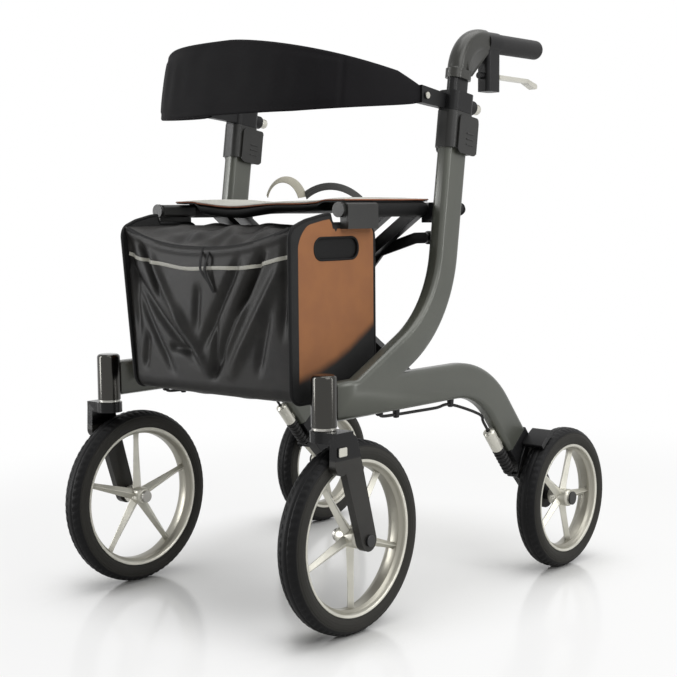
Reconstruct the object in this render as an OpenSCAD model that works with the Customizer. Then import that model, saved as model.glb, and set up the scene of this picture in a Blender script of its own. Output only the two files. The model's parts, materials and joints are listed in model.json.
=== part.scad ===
// All-terrain rollator: two side frames on four air-tyred wheels, joined by a folding X brace under a
// fabric seat, with a bag in front, height-adjustable handles, hand brakes and a padded back strap.
// +Z is up from the floor, -Y is the way it rolls, +X is the left hand of the person who walks behind it.

/* [Wheels] */
// Outside diameter of a front wheel
front_wheel_d = 300; // [285:1:315]
// Outside diameter of a rear wheel
rear_wheel_d = 252; // [236:1:264]
// Width of every tyre
tyre_w = 43; // [39:1:47]
// Height of every tyre from the rim edge to the tread
tyre_h = 30; // [26:1:32]
// Radius of the tyre's shoulders
tyre_shoulder_r = 18; // [16:0.5:19]
// Distance between the front and rear axles
wheelbase = 543; // [520:1:570]
// Length of every hub
hub_w = 44; // [40:1:48]
// Diameter of every hub
hub_d = 31; // [28:1:36]
// Diameter of the wheel axles
axle_d = 12; // [10:0.5:14]
// Number of spokes of a wheel
spoke_count = 5; // [4:1:7]
// Width of a spoke at the hub
spoke_w = 19; // [16:0.5:22]
// Width of a spoke at the rim
spoke_tip_w = 9; // [7:0.5:12]
// Depth of a spoke at its ridge
spoke_t = 13; // [10:0.5:16]

/* [Side frames] */
// Distance of each frame's middle plane from the side of the bag
bag_frame_gap = 41.5; // [40:0.5:50]
// Thickness of the frame tubes across the rollator
frame_w = 27; // [24:0.5:30]
// Depth of the upright tube, front to back
upright_d = 53; // [48:0.5:56]
// Height of the lower beam tube
beam_h = 59; // [54:0.5:64]
// Rounding of the frame tubes' edges
frame_round = 9; // [6:0.5:11]
// Wall of the frame tubes
frame_wall = 3; // [2.4:0.1:3.4]
// Height of the beam's middle above the underside of the head tube
beam_rise = 35; // [32:0.5:40]
// Lean of the upright, from vertical
lean = 8.3; // [6:0.1:11]
// Slope of the upright's foot, from level
foot_slope = 27.1; // [24:0.1:30]
// Distance from the head tube's axis back to the upright's knee
knee_back = 283.7; // [270:0.1:295]
// Distance from the head tube's axis back to where the foot meets the beam
foot_back = 68; // [60:1:76]
// Radius of the upright's bend at its middle line
upright_bend_r = 196; // [180:1:205]
// Height of the grips' middle above the upright's top
handle_show = 163; // [155:1:175]
// Radius of the beam's rear bend at its middle line
beam_bend_r = 165; // [150:1:175]
// Angle of the rear leg below level
leg_angle = 50; // [46:0.5:54]
// Length of the axle block, from the rear axle up the leg
axle_block_l = 150; // [130:1:165]

/* [Casters] */
// Distance of the front axle behind the head tube's axis
trail = 57; // [50:1:64]
// Diameter of the head tube
head_d = 39; // [37:0.5:44]
// Length of the head tube with its domed top
head_l = 78; // [74:1:90]
// Diameter of the steerer
steerer_d = 20; // [18:0.5:22]
// Gap between the front tyre and the fork crown
crown_gap = 5; // [4:0.5:9]
// Thickness of the fork crown
crown_t = 17; // [14:0.5:20]
// Thickness of the single fork leg
fork_leg_t = 13; // [11:0.5:16]
// Gap between the front tyre and the fork leg
fork_leg_gap = 4; // [3:0.5:6]

/* [Folding seat frame] */
// Height of the seat tubes' middle above the floor
seat_z = 647; // [638:1:655]
// Diameter of the seat tubes
seat_tube_d = 21; // [19:0.5:25]
// Length of the seat tubes
seat_tube_l = 225; // [215:1:235]
// Distance of the fold pivots inboard of the frames' middle planes
pivot_inset = 40; // [38:0.5:46]
// Thickness of each brace bar, front to back
bar_t = 16; // [12:0.5:17]
// Width of each brace bar
bar_w = 20; // [18:0.5:24]
// Diameter of the fold pins
fold_pin_d = 10; // [8:0.5:12]
// Drop of the links' middle pin below the brace's middle pin
link_drop = 47.5; // [44:0.5:52]

/* [Handles] */
// Height of the grips' middle above the seat tubes
grip_rise = 276; // [268:1:320]
// Diameter of a grip
grip_d = 33; // [30:0.5:36]
// Length of a grip
grip_l = 130; // [120:1:140]
// Diameter of the bar inside the grip
bar_d = 22; // [20:0.5:25]
// Width of the handle post across the rollator
post_w = 19.5; // [17:0.5:20.5]
// Depth of the handle post, front to back
post_d = 44; // [40:0.5:45]
// Radius of the handlebar's bend at its middle line
handle_bend_r = 60; // [54:1:66]
// Length of the handlebar's straight neck below its bend
neck_l = 6; // [4:0.5:10]
// Depth of the handlebar in its bend
handlebar_d = 40; // [36:0.5:43]
// Width of the handlebar across the rollator
handlebar_w = 31; // [29:0.5:34]
// Length of the brake housing along the bar
housing_l = 37; // [34:0.5:42]
// Height of the height clamp
collar_h = 60; // [55:1:64]
// Height of the back strap's clamp
holder_h = 32; // [30:1:36]

/* [Bag, seat and back strap] */
// Width of the bag with its side panels, which sets the width between the frames
bag_w = 407; // [360:1:450]
// Depth of the bag, front to back
bag_depth = 196; // [180:1:205]
// Height of the bag
bag_h = 268; // [240:1:272]
// Thickness of the bag's stiff side panels
panel_t = 4.5; // [3:0.5:6]
// Depth of the seat, front to back
seat_depth = 212; // [200:1:214]
// Thickness of the padded seat at its edges
seat_edge_t = 6; // [5:0.5:9]
// Reach of the back strap in front of its holders
strap_reach = 205; // [185:1:220]
// Height of the back strap's middle part
strap_h = 120; // [110:1:130]
// Height of the back strap's ends
strap_end_h = 28; // [24:1:32]
// Thickness of the back strap's padding
strap_t = 14; // [10:0.5:18]

/* [Hidden] */
$fn = 48;
SIDES = ["left", "right"];
PAIRED = ["side_frame", "axle_block", "height_collar", "collar_lever", "handle_stem", "handlebar", "grip",
  "brake_housing", "brake_lever", "backrest_holder", "backrest_knob", "fork", "head_bearings", "front_tyre",
  "front_rim", "front_axle", "rear_tyre", "rear_rim", "rear_axle", "brake_arm", "brake_barrel", "brake_boot",
  "brake_cable", "seat_tube", "stabiliser_link", "x_brace", "seat_cradle"];
SINGLE = ["cross_bolt", "seat_sling", "bag_body", "bag_panels", "backrest_strap", "pull_straps"];

// Clearances: a pin in its running bore, a push fit, parts that slide or swing past each other.
run_gap = 0.05;
push_gap = 0.15;
slide_gap = 0.4;
swing_gap = 0.7;

// Width and height between the main parts
side_x = bag_w / 2 + bag_frame_gap;
grip_z = seat_z + grip_rise;
upright_top = grip_z - handle_show;

// Wheels and head tube
front_r = front_wheel_d / 2;
rear_r = rear_wheel_d / 2;
axle_r = axle_d / 2;
front_axle_y = (front_r - rear_r - wheelbase) / 2;
rear_axle_y = front_axle_y + wheelbase;
rear_tyre_gap = 7.25;
rear_x = side_x + frame_w / 2 + rear_tyre_gap + tyre_w / 2;
rim_base_w = tyre_w - 2 * (tyre_shoulder_r - sqrt(tyre_shoulder_r ^ 2 - (tyre_h - tyre_shoulder_r) ^ 2));
head_y = front_axle_y - trail;
head_r = head_d / 2;
bearing_r = head_r - 4.5;
bearing_flange_t = 4.5;
steerer_r = steerer_d / 2;
crown_bottom = front_wheel_d + crown_gap;
crown_top = crown_bottom + crown_t;
head_bottom = crown_top + slide_gap + bearing_flange_t;
head_top = head_bottom + head_l;
fork_leg_x = side_x + tyre_w / 2 + fork_leg_gap;

// Side frame: knee of the upright, its bend, the beam's rear bend
beam_z = head_bottom + beam_rise;
knee_y = head_y + knee_back;
knee_z = beam_z + (knee_back - foot_back) * tan(foot_slope);
foot_l = (knee_back - foot_back) / cos(foot_slope);
knee_t = upright_bend_r * tan((90 - lean - foot_slope) / 2);
upright_l = (upright_top - knee_z) / cos(lean);
bend_end_y = knee_y - knee_t * cos(foot_slope);
bend_end_z = knee_z - knee_t * sin(foot_slope);
leg_corner_y = rear_axle_y - (beam_z - rear_r) / tan(leg_angle);
leg_t = beam_bend_r * tan(leg_angle / 2);
beam_end_y = leg_corner_y - leg_t;
leg_l = (beam_z - rear_r) / sin(leg_angle) - leg_t;
frame_inner_x = side_x - frame_w / 2;
frame_outer_x = side_x + frame_w / 2;
function upright_y(z) = knee_y + (z - knee_z) * tan(lean);
function upright_at(z) = (z - knee_z) / cos(lean);

// Fold pivots: lower pins on the frames, middle pin of the X, upper pins of the links
pivot_x = side_x - pivot_inset;
fold_pin_r = fold_pin_d / 2;
low_pivot_z = beam_z;
cross_z = (low_pivot_z + seat_z) / 2;
link_z = seat_z - link_drop;
link_mid_z = cross_z - link_drop;
lug_ahead = 62;
lug_y = upright_y(seat_z) - lug_ahead;
lug_l = 30;
bar_gap = 2;
inner_bar_y = lug_l / 2 + slide_gap + bar_t / 2;
outer_bar_y = inner_bar_y + bar_t + bar_gap;
link_t = 5.8;
link_w = 18;
link_lug_l = 16;
link_lug_y = upright_y(link_z) + 16.4;
link_y = link_lug_y - link_lug_l / 2 - swing_gap;
seat_tube_r = seat_tube_d / 2;
seat_tube_end = upright_y(seat_z) + 2;
seat_tube_front = seat_tube_end - seat_tube_l;
hanger_l = 73;
hanger_w = seat_tube_d + 7;
hanger_drop = 29.5;

// Handles, measured up the leaning upright from its knee, and level at the top
collar_from = upright_l - collar_h * 0.285;
collar_to = collar_from + collar_h;
collar_w = frame_w + 11;
collar_d = upright_d + 7;
holder_from = collar_to + 0.5;
holder_to = holder_from + holder_h;
holder_arm_z = knee_z + (holder_from + holder_h * 0.81) * cos(lean);
holder_arm_fall = 10;
holder_arm_h = strap_end_h;
holder_arm_w = 14;
holder_arm_x = side_x - 7;
holder_arm_l = 93;
holder_arm_end = upright_y(holder_arm_z) - holder_arm_l;
knob_boss_end = collar_d / 2 + 15;
knob_at = holder_from + holder_h * 0.5;
knob_r = 9;
knob_l = 17;
knob_pin_r = 4;
lever_hinge_at = collar_to - 9;
lever_hinge_d = collar_d / 2 + 5.8;
lever_hinge_r = 5;
lever_pin_r = 2.5;
post_from = knee_t + 12;
bend_top_z = grip_z - handle_bend_r;
bend_from = (bend_top_z + handle_bend_r * sin(lean) - knee_z) / cos(lean);
post_to = bend_from - neck_l;
handle_bend_y = knee_y + bend_from * sin(lean) + handle_bend_r * cos(lean);
socket_l = 9;
bar_r = bar_d / 2;
grip_r = grip_d / 2;
housing_y = handle_bend_y + 9;
housing_w = 26;
housing_drop = 81;
grip_y = housing_y + housing_l + push_gap;
brake_pivot_y = housing_y + housing_l - 11;
brake_pivot_z = grip_z - 54;
brake_pin_r = 3;
brake_lever_w = 14;
brake_boss_r = 7;
brake_slot_w = 11;

// Rear brake, in the leg's own frame: across the leg (v) and up it from the axle (u)
brake_pivot = [-13, 114];
brake_pull = [-beam_h / 2 - 12.5, 104];
brake_open = 5;
brake_clear = 0.5;
brake_arm_t = 4;
brake_arm_x = frame_outer_x + swing_gap;
shoe_t = 9;
shoe_from = 8;
shoe_to = 26;
barrel_r = 10.5;
barrel_from = 171;
barrel_to = 217;
boot_from = brake_pull[1] + 6.5;
boot_r = 11;
boot_ribs = 7;
cable_r = 2.5;

// Bag, seat and straps
bag_top = seat_z - seat_tube_r - 11.5;
bag_bottom = bag_top - bag_h;
bag_back = lug_y - outer_bar_y - bar_t / 2 - 26;
bag_front = bag_back - bag_depth;
bag_round = 22;
panel_rise = 15;
bag_lip_drop = 3;
bag_lip_sag = 33;
bag_lid_sag = 1;
bag_swell = 7;
bag_turn = 7.3;
bag_lean = 5.5;
seat_front = seat_tube_end - 8 - seat_depth;
seat_skew = 41;
seat_half = pivot_x + 6;
seat_top = seat_z + seat_tube_r + 0.4 + seat_edge_t;
strap_half = holder_arm_x;
strap_y = holder_arm_end - 0.3;
strap_drop = 17;
strap_ear = 13;
strap_lean = 24;
strap_full = strap_h - strap_end_h - strap_drop - strap_ear;
loop_w = 24;
light_loop = [-37, 42, 41];
dark_loop = [69, 56, 30];

// A rectangle with round corners
module round_rect(w, h, r) {
  square([w - 2 * r, h], center = true);
  square([w, h - 2 * r], center = true);
  for (x = [-1, 1], y = [-1, 1]) translate([x * (w / 2 - r), y * (h / 2 - r)]) circle(r);
}

// A bar with round ends of two radii and straight tangent sides
module taper_bar(p, rp, q, rq) {
  a = atan2(q[1] - p[1], q[0] - p[0]);
  b = acos((rp - rq) / norm(q - p));
  polygon([for (e = [[p, rp, b], [q, rq, b], [q, rq, -b], [p, rp, -b]])
    e[0] + e[1] * [cos(a + e[2]), sin(a + e[2])]]);
  translate(p) circle(rp);
  translate(q) circle(rq);
}

// A flat ring, or a tube, around Z
module ring(r_out, r_in, h) {
  difference() {
    cylinder(r = r_out, h = h);
    translate([0, 0, -1]) cylinder(r = r_in, h = h + 2);
  }
}

// Draws an outline of y and z, from x0 to x1
module along_x(x0, x1) {
  translate([x0, 0, 0]) rotate([90, 0, 90]) linear_extrude(x1 - x0) children();
}

// Draws an outline of x and z, from y0 to y1
module along_y(y0, y1) {
  translate([0, y1, 0]) rotate([90, 0, 0]) linear_extrude(y1 - y0) children();
}

// Turns an outline of radius and x about a line through y, z, from one angle over a span
module bend(y, z, from, span) {
  translate([side_x, y, z]) rotate([90, 0, 90]) rotate([0, 0, from]) rotate_extrude(angle = span) children();
}

// A rod along X
module rod_x(x0, x1, r, y = 0, z = 0) {
  translate([x0, y, z]) rotate([0, 90, 0]) cylinder(r = r, h = x1 - x0);
}

// A rod along Y
module rod_y(y0, y1, r, x = 0, z = 0) {
  translate([x, y1, z]) rotate([90, 0, 0]) cylinder(r = r, h = y1 - y0);
}

// The leaning frame of an upright: Z runs up its axis from the knee, Y to its rear
module on_upright() {
  translate([side_x, knee_y, knee_z]) rotate([-lean, 0, 0]) children();
}

// The frame of a rear leg: Z runs up the leg from the axle, Y across it to the rear
module on_leg() {
  translate([0, rear_axle_y, rear_r]) rotate([90 - leg_angle, 0, 0]) children();
}

module on_side(side) {
  mirror([side == "right" ? 1 : 0, 0, 0]) children();
}

// The frame's tubes, all drawn in by the same amount
module frame_tubes(inset) {
  w = frame_w - 2 * inset;
  d = upright_d - 2 * inset;
  h = beam_h - 2 * inset;
  r = frame_round - inset;
  on_upright() translate([0, 0, knee_t]) linear_extrude(upright_l - knee_t) round_rect(w, d, r);
  bend(knee_y + knee_t * sin(lean) - upright_bend_r * cos(lean),
       knee_z + knee_t * cos(lean) + upright_bend_r * sin(lean), foot_slope - 90, 90 - lean - foot_slope)
    translate([upright_bend_r, 0]) round_rect(d, w, r);
  translate([side_x, knee_y, knee_z]) rotate([90 + foot_slope, 0, 0]) translate([0, 0, knee_t])
    linear_extrude(foot_l - knee_t) round_rect(w, d, r);
  translate([side_x, head_y + head_r - 3 + inset, beam_z]) rotate([-90, 0, 0])
    linear_extrude(beam_end_y - head_y - head_r + 3 - inset) round_rect(w, h, r);
  bend(beam_end_y, beam_z - beam_bend_r, 90 - leg_angle, leg_angle)
    translate([beam_bend_r, 0]) round_rect(h, w, r);
  translate([side_x, 0, 0]) on_leg() translate([0, 0, axle_block_l])
    linear_extrude(leg_l - axle_block_l) round_rect(w, h, r);
}

// The welded frame: upright, beam, rear leg, head tube and the lugs of the fold
module side_frame() {
  dome = 6;
  lug_r = fold_pin_r + 6;
  color([0.34, 0.35, 0.32]) difference() {
    union() {
      frame_tubes(0);
      translate([side_x, head_y, head_bottom]) rotate_extrude() {
        square([head_r - dome, head_l]);
        square([head_r, head_l - dome]);
        translate([head_r - dome, head_l - dome]) circle(dome);
      }
      along_y(lug_y - lug_l / 2, lug_y + lug_l / 2) {
        translate([pivot_x, low_pivot_z]) circle(lug_r);
        translate([pivot_x, low_pivot_z - lug_r]) square([pivot_inset - frame_w / 2 + 1, 2 * lug_r]);
      }
      along_y(link_lug_y - link_lug_l / 2, link_lug_y + link_lug_l / 2) {
        translate([pivot_x, link_z]) circle(lug_r);
        translate([pivot_x, link_z - lug_r]) square([pivot_inset - frame_w / 2 + 1, 2 * lug_r]);
      }
    }
    on_upright() translate([0, 0, knee_t + 6]) linear_extrude(upright_l)
      round_rect(frame_w - 2 * frame_wall, upright_d - 2 * frame_wall, frame_round - frame_wall);
    translate([side_x, head_y, head_bottom - 1]) cylinder(r = bearing_r + run_gap, h = head_l - 5);
    rod_y(lug_y - lug_l, lug_y + lug_l, fold_pin_r + run_gap, pivot_x, low_pivot_z);
    rod_y(link_lug_y - link_lug_l, link_lug_y + link_lug_l, fold_pin_r + run_gap, pivot_x, link_z);
  }
}

// The moulded block that closes the rear leg and holds the rear axle
module axle_block() {
  boss_r = 24;
  color([0.09, 0.09, 0.09]) difference() {
    on_leg() along_x(frame_inner_x, frame_outer_x) {
      circle(boss_r);
      polygon([[-boss_r, 0], [boss_r, 0], [beam_h / 2, axle_block_l * 0.5], [beam_h / 2, axle_block_l],
        [-beam_h / 2, axle_block_l], [-beam_h / 2, axle_block_l * 0.5]]);
    }
    rod_x(frame_inner_x - 1, frame_outer_x + 1, axle_r + run_gap, rear_axle_y, rear_r);
    on_leg() rod_x(frame_inner_x - 1, frame_outer_x + 1, brake_pin_r + 1 + run_gap, brake_pivot[0],
      brake_pivot[1]);
  }
}

// Head bearings: a plain ring in the head tube's top and a flanged ring in its underside
module head_bearings() {
  color("silver") translate([side_x, head_y, head_bottom]) {
    ring(bearing_r, steerer_r + run_gap, 10);
    translate([0, 0, -bearing_flange_t]) ring(head_r - 1, steerer_r + run_gap, bearing_flange_t);
    translate([0, 0, head_l - 18]) ring(bearing_r, steerer_r + run_gap, 9);
  }
}

// The caster fork: steerer, crown over the tyre and one leg outside the wheel
module fork() {
  crown_r = head_r + 2;
  leg_top = [head_y + 13, crown_bottom - 6];
  leg_top_r = 20;
  leg_end_r = 17;
  color([0.11, 0.11, 0.11]) difference() {
    union() {
      translate([side_x, head_y, crown_top - 1]) cylinder(r = steerer_r,
        h = head_bottom + head_l - 8 - crown_top);
      translate([0, 0, crown_bottom]) linear_extrude(crown_t) {
        translate([side_x, head_y]) circle(crown_r);
        translate([side_x, head_y - crown_r + 4]) square([fork_leg_x + fork_leg_t - side_x, 2 * crown_r - 4]);
      }
      along_x(fork_leg_x, fork_leg_x + fork_leg_t) {
        taper_bar(leg_top, leg_top_r, [front_axle_y, front_r], leg_end_r);
        taper_bar([head_y - crown_r + 15, crown_top - 11], 11, [head_y - 4, crown_bottom - 32], 15);
        translate([head_y - crown_r + 15, crown_bottom]) square([2 * crown_r - 15, crown_t]);
      }
      along_x(fork_leg_x + 1, fork_leg_x + fork_leg_t + 1.5) translate([head_y - 5, crown_bottom - 11])
        round_rect(20, 15, 2);
    }
    rod_x(fork_leg_x - 1, fork_leg_x + fork_leg_t + 1, axle_r + run_gap, front_axle_y, front_r);
  }
}

// A tyre of an outside radius, turned about X at the wheel's middle
module tyre(r) {
  color([0.06, 0.06, 0.06]) rotate([0, 90, 0]) rotate_extrude($fn = 96) difference() {
    union() {
      for (s = [-1, 1]) translate([r - tyre_shoulder_r, s * (tyre_w / 2 - tyre_shoulder_r)])
        circle(tyre_shoulder_r);
      translate([r - 2 * tyre_shoulder_r, tyre_shoulder_r - tyre_w / 2])
        square([2 * tyre_shoulder_r, tyre_w - 2 * tyre_shoulder_r]);
    }
    translate([0, -tyre_w]) square([r - tyre_h, 2 * tyre_w]);
  }
}

// A cast rim with ridged spokes and a bored hub, for a tyre of an outside radius, turned as it stands
module rim(r, turn) {
  edge = r - tyre_h;
  half = rim_base_w / 2;
  color([0.72, 0.72, 0.7]) difference() {
    union() {
      rotate([0, 90, 0]) rotate_extrude($fn = 96)
        polygon([[edge, -half], [edge, half], [edge - 4, half], [edge - 5, half - 4], [edge - 10, half - 10],
          [edge - 10, 10 - half], [edge - 5, 4 - half], [edge - 4, -half]]);
      rod_x(-hub_w / 2, hub_w / 2, hub_d / 2);
      for (i = [0 : spoke_count - 1]) rotate([turn + i * 360 / spoke_count, 0, 0]) intersection() {
        translate([0, 0, hub_d / 2 - 4]) linear_extrude(edge - hub_d / 2 - 3)
          polygon([[-spoke_t / 2, 0], [0, -spoke_w / 2], [spoke_t / 2, 0], [0, spoke_w / 2]]);
        along_x(-spoke_t, spoke_t) polygon([[-spoke_w / 2, 0], [spoke_w / 2, 0], [spoke_tip_w / 2, edge],
          [-spoke_tip_w / 2, edge]]);
      }
    }
    rod_x(-hub_w, hub_w, axle_r + run_gap);
  }
}

module front_wheel_place() translate([side_x, front_axle_y, front_r]) children();
module rear_wheel_place() translate([rear_x, rear_axle_y, rear_r]) children();
module front_tyre() front_wheel_place() tyre(front_r);
module front_rim(side) front_wheel_place() rim(front_r, side == "left" ? 180 : 0);
module rear_tyre() rear_wheel_place() tyre(rear_r);
module rear_rim() rear_wheel_place() rim(rear_r, -20);

// The front axle bolt: head inboard, spacer beside the fork leg, nut outside it
module front_axle() {
  hub_in = side_x - hub_w / 2 - slide_gap;
  hub_out = side_x + hub_w / 2 + slide_gap;
  leg_out = fork_leg_x + fork_leg_t;
  color("silver") {
    rod_x(hub_in - 1, leg_out + 1, axle_r, front_axle_y, front_r);
    rod_x(hub_in - 5, hub_in, axle_r + 4, front_axle_y, front_r);
    rod_x(hub_out, fork_leg_x, axle_r + 4, front_axle_y, front_r);
    rod_x(leg_out, leg_out + 4, axle_r + 3, front_axle_y, front_r);
  }
}

// The rear axle: a stub through the axle block with a spacer and a round end cap
module rear_axle() {
  hub_in = rear_x - hub_w / 2 - slide_gap;
  hub_out = rear_x + hub_w / 2 + slide_gap;
  color([0.25, 0.25, 0.25]) {
    rod_x(frame_inner_x - 1, hub_out + 1, axle_r, rear_axle_y, rear_r);
    rod_x(frame_inner_x - 5, frame_inner_x, axle_r + 4, rear_axle_y, rear_r);
    rod_x(frame_outer_x, hub_in, axle_r + 3, rear_axle_y, rear_r);
    rod_x(hub_out, hub_out + 3.5, axle_r + 6, rear_axle_y, rear_r);
  }
}

// The brake arm: a bell crank drawn with the brake on, then turned open about its pin
module brake_arm() {
  shoe_in = rear_r + brake_clear;
  pivot_turn = atan2(brake_pivot[1], brake_pivot[0]);
  shoe_x = rear_x + tyre_w / 2 - 8;
  shoe_mid = (shoe_in + shoe_t / 2) * [cos(pivot_turn - (shoe_from + shoe_to) / 2),
    sin(pivot_turn - (shoe_from + shoe_to) / 2)];
  color([0.2, 0.2, 0.2]) on_leg() translate([0, brake_pivot[0], brake_pivot[1]]) rotate([brake_open, 0, 0])
    translate([0, -brake_pivot[0], -brake_pivot[1]]) {
      along_x(brake_arm_x, brake_arm_x + brake_arm_t) {
        taper_bar(brake_pivot, 10, brake_pull, 7);
        taper_bar(brake_pivot, 10, shoe_mid, shoe_t / 2);
      }
      rod_x(frame_inner_x + 2, brake_arm_x + 1, brake_pin_r + 1, brake_pivot[0], brake_pivot[1]);
      rod_x(side_x - 7, brake_arm_x + 1, 5, brake_pull[0], brake_pull[1]);
      translate([brake_arm_x, 0, 0]) rotate([90, 0, 90]) rotate([0, 0, pivot_turn - shoe_to])
        rotate_extrude(angle = shoe_to - shoe_from) translate([shoe_in, 0]) square([shoe_t,
          shoe_x - brake_arm_x]);
    }
}

// The brake barrel: the sleeve that the cable pulls against, on a foot against the leg
module brake_barrel() {
  foot_w = frame_w - 2 * frame_round - 1;
  axis = brake_pull[0];
  color([0.75, 0.75, 0.73]) translate([side_x, 0, 0]) on_leg() difference() {
    union() {
      translate([0, axis, barrel_from]) cylinder(r = barrel_r, h = barrel_to - barrel_from - 4);
      translate([0, axis, barrel_to - 4]) cylinder(r1 = barrel_r, r2 = 5, h = 4);
      translate([-foot_w / 2, axis, barrel_from]) cube([foot_w, -beam_h / 2 - axis, 14]);
    }
    translate([0, axis, barrel_from - 1]) cylinder(r = cable_r + 1, h = barrel_to - barrel_from + 2);
  }
}

// The ribbed boot over the brake's pull rod
module brake_boot() {
  pitch = (barrel_from - boot_from) / boot_ribs;
  color([0.07, 0.07, 0.07]) translate([side_x, brake_pull_y(), brake_pull_z()]) rotate([90 - leg_angle, 0, 0])
    rotate_extrude() difference() {
      union() {
        square([boot_r - 3, barrel_from - boot_from]);
        for (i = [0 : boot_ribs - 1]) translate([boot_r - 3, (i + 0.5) * pitch]) circle(2.9);
      }
      square([boot_r - 6, barrel_from - boot_from]);
    }
}

function brake_pull_y() = rear_axle_y + brake_pull[0] * sin(leg_angle) - boot_from * cos(leg_angle);
function brake_pull_z() = rear_r + brake_pull[0] * cos(leg_angle) + boot_from * sin(leg_angle);

// Points of a round tube of a radius about a path in one plane of x
function tube_ring(p, q, x, r) =
  let (t = (q - p) / norm(q - p)) [for (k = [0 : 7]) [x + r * cos(45 * k), p[0] - t[1] * r * sin(45 * k),
    p[1] + t[0] * r * sin(45 * k)]];

// A closed skin over rings of points, with flat ends
module skin(rings) {
  n = len(rings[0]);
  m = len(rings);
  polyhedron([for (ring = rings) each ring], concat(
    [for (i = [0 : m - 2], k = [0 : n - 1]) each [
      [i * n + k, i * n + (k + 1) % n, (i + 1) * n + k],
      [i * n + (k + 1) % n, (i + 1) * n + (k + 1) % n, (i + 1) * n + k]]],
    [for (k = [0 : n / 2 - 2]) each [[k + 1, k, n - 1 - k], [n - 2 - k, k + 1, n - 1 - k]]],
    [for (k = [0 : n / 2 - 2]) let (e = (m - 1) * n) each [
      [e + k, e + k + 1, e + n - 1 - k], [e + k + 1, e + n - 2 - k, e + n - 1 - k]]]));
}

// A point of a smooth curve through the route's points, part t of the way along leg i
function route_point(pts, i, t) =
  let (a = pts[max(i - 1, 0)], b = pts[i], c = pts[i + 1], d = pts[min(i + 2, len(pts) - 1)])
    0.5 * (2 * b + (c - a) * t + (2 * a - 5 * b + 4 * c - d) * t ^ 2 + (3 * b - a - 3 * c + d) * t ^ 3);

// The brake cable from the beam's grommet, through two clips, to the top of the barrel
module brake_cable() {
  under = beam_z - beam_h / 2;
  barrel_top = [rear_axle_y + brake_pull[0] * sin(leg_angle) - (barrel_to - 8) * cos(leg_angle),
    rear_r + brake_pull[0] * cos(leg_angle) + (barrel_to - 8) * sin(leg_angle)];
  up_leg = [-cos(leg_angle), sin(leg_angle)];
  run = beam_end_y - head_y;
  route = [[head_y + 0.4 * run, under - 2], [head_y + 0.425 * run, under - 6.5], [head_y + 0.53 * run,
    under - 8],
    [head_y + 0.68 * run, under - 9], [head_y + 0.86 * run, under - 10], [beam_end_y - 7, under - 9],
    barrel_top + 55 * up_leg + [3, -4], barrel_top + 30 * up_leg, barrel_top];
  steps = 4;
  path = concat([for (i = [0 : len(route) - 2], k = [0 : steps - 1]) route_point(route, i, k / steps)],
    [route[len(route) - 1]]);
  color([0.05, 0.05, 0.05]) {
    skin([for (i = [0 : len(path) - 1])
      tube_ring(path[i], i < len(path) - 1 ? path[i + 1] : 2 * path[i] - path[i - 1], side_x, cable_r)]);
    translate([side_x, route[0][0], under - 5]) cylinder(r = 6, h = 5);
    for (y = [route[2][0], route[5][0]]) translate([side_x - 4, y - 5, under - 13]) cube([8, 10, 13]);
  }
}

// The clamp at the upright's top, which grips the handle post
module height_collar() {
  ear = lever_hinge_r + 1;
  color([0.2, 0.2, 0.19]) on_upright() difference() {
    union() {
      translate([0, 0, collar_from]) linear_extrude(collar_h) round_rect(collar_w, collar_d, 13);
      for (s = [-1, 1]) along_x(s > 0 ? 14.6 : -collar_w / 2, s > 0 ? collar_w / 2 : -14.6) {
        translate([lever_hinge_d, lever_hinge_at]) circle(ear);
        translate([lever_hinge_d - 22, lever_hinge_at - ear]) square([22, 2 * ear]);
      }
    }
    translate([0, 0, collar_from - 1]) linear_extrude(upright_l - collar_from + 1 + push_gap)
      round_rect(frame_w + 2 * push_gap, upright_d + 2 * push_gap, frame_round + push_gap);
    post_slot(collar_from, collar_to);
    rod_x(-17, 17, lever_pin_r + run_gap, lever_hinge_d, lever_hinge_at);
  }
}

// The slot that the handle post slides in
module post_slot(from, to) {
  gap = slide_gap;
  translate([0, 0, from - 1]) linear_extrude(to - from + 2)
    round_rect(post_w + 2 * gap, post_d + 2 * gap, post_w / 2 + gap - 0.01);
}

// The flip lever of the height clamp, hinged at its top, with finger ribs
module collar_lever() {
  plate_in = collar_d / 2 + swing_gap;
  drop = collar_h - 9;
  cheek_x = collar_w / 2 + swing_gap;
  cheek_t = 2.8;
  cheek_l = 52;
  cheek_h = collar_h + 2;
  cheek_mid = lever_hinge_at + 4 - cheek_h / 2;
  plate_h = collar_h - 14;
  color([0.16, 0.16, 0.155]) on_upright() {
    rod_x(-14, 14, lever_hinge_r, lever_hinge_d, lever_hinge_at);
    rod_x(-16.6, 16.6, lever_pin_r, lever_hinge_d, lever_hinge_at);
    along_x(-14, 14) taper_bar([lever_hinge_d, lever_hinge_at], lever_hinge_r,
      [plate_in + 4.5, lever_hinge_at - drop], 4.5);
    along_x(-cheek_x - cheek_t, cheek_x + cheek_t) translate([plate_in + 3.5,
      lever_hinge_at - 8 - plate_h / 2])
      square([7, plate_h], center = true);
    for (s = [-1, 1]) {
      along_x(s > 0 ? cheek_x : -cheek_x - cheek_t, s > 0 ? cheek_x + cheek_t : -cheek_x)
        translate([plate_in + 7 - cheek_l / 2, cheek_mid]) round_rect(cheek_l, cheek_h, 9);
      for (k = [0 : 2]) rod_y(plate_in - 24, plate_in - 6, 1.2, s * (cheek_x + cheek_t),
        lever_hinge_at - 24 - 9 * k);
    }
  }
}

// The oval post that carries a handle and slides in the upright
module handle_stem() {
  color([0.06, 0.06, 0.06]) on_upright() translate([0, 0, post_from]) linear_extrude(post_to - post_from)
    round_rect(post_w, post_d, post_w / 2 - 0.01);
}

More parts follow.
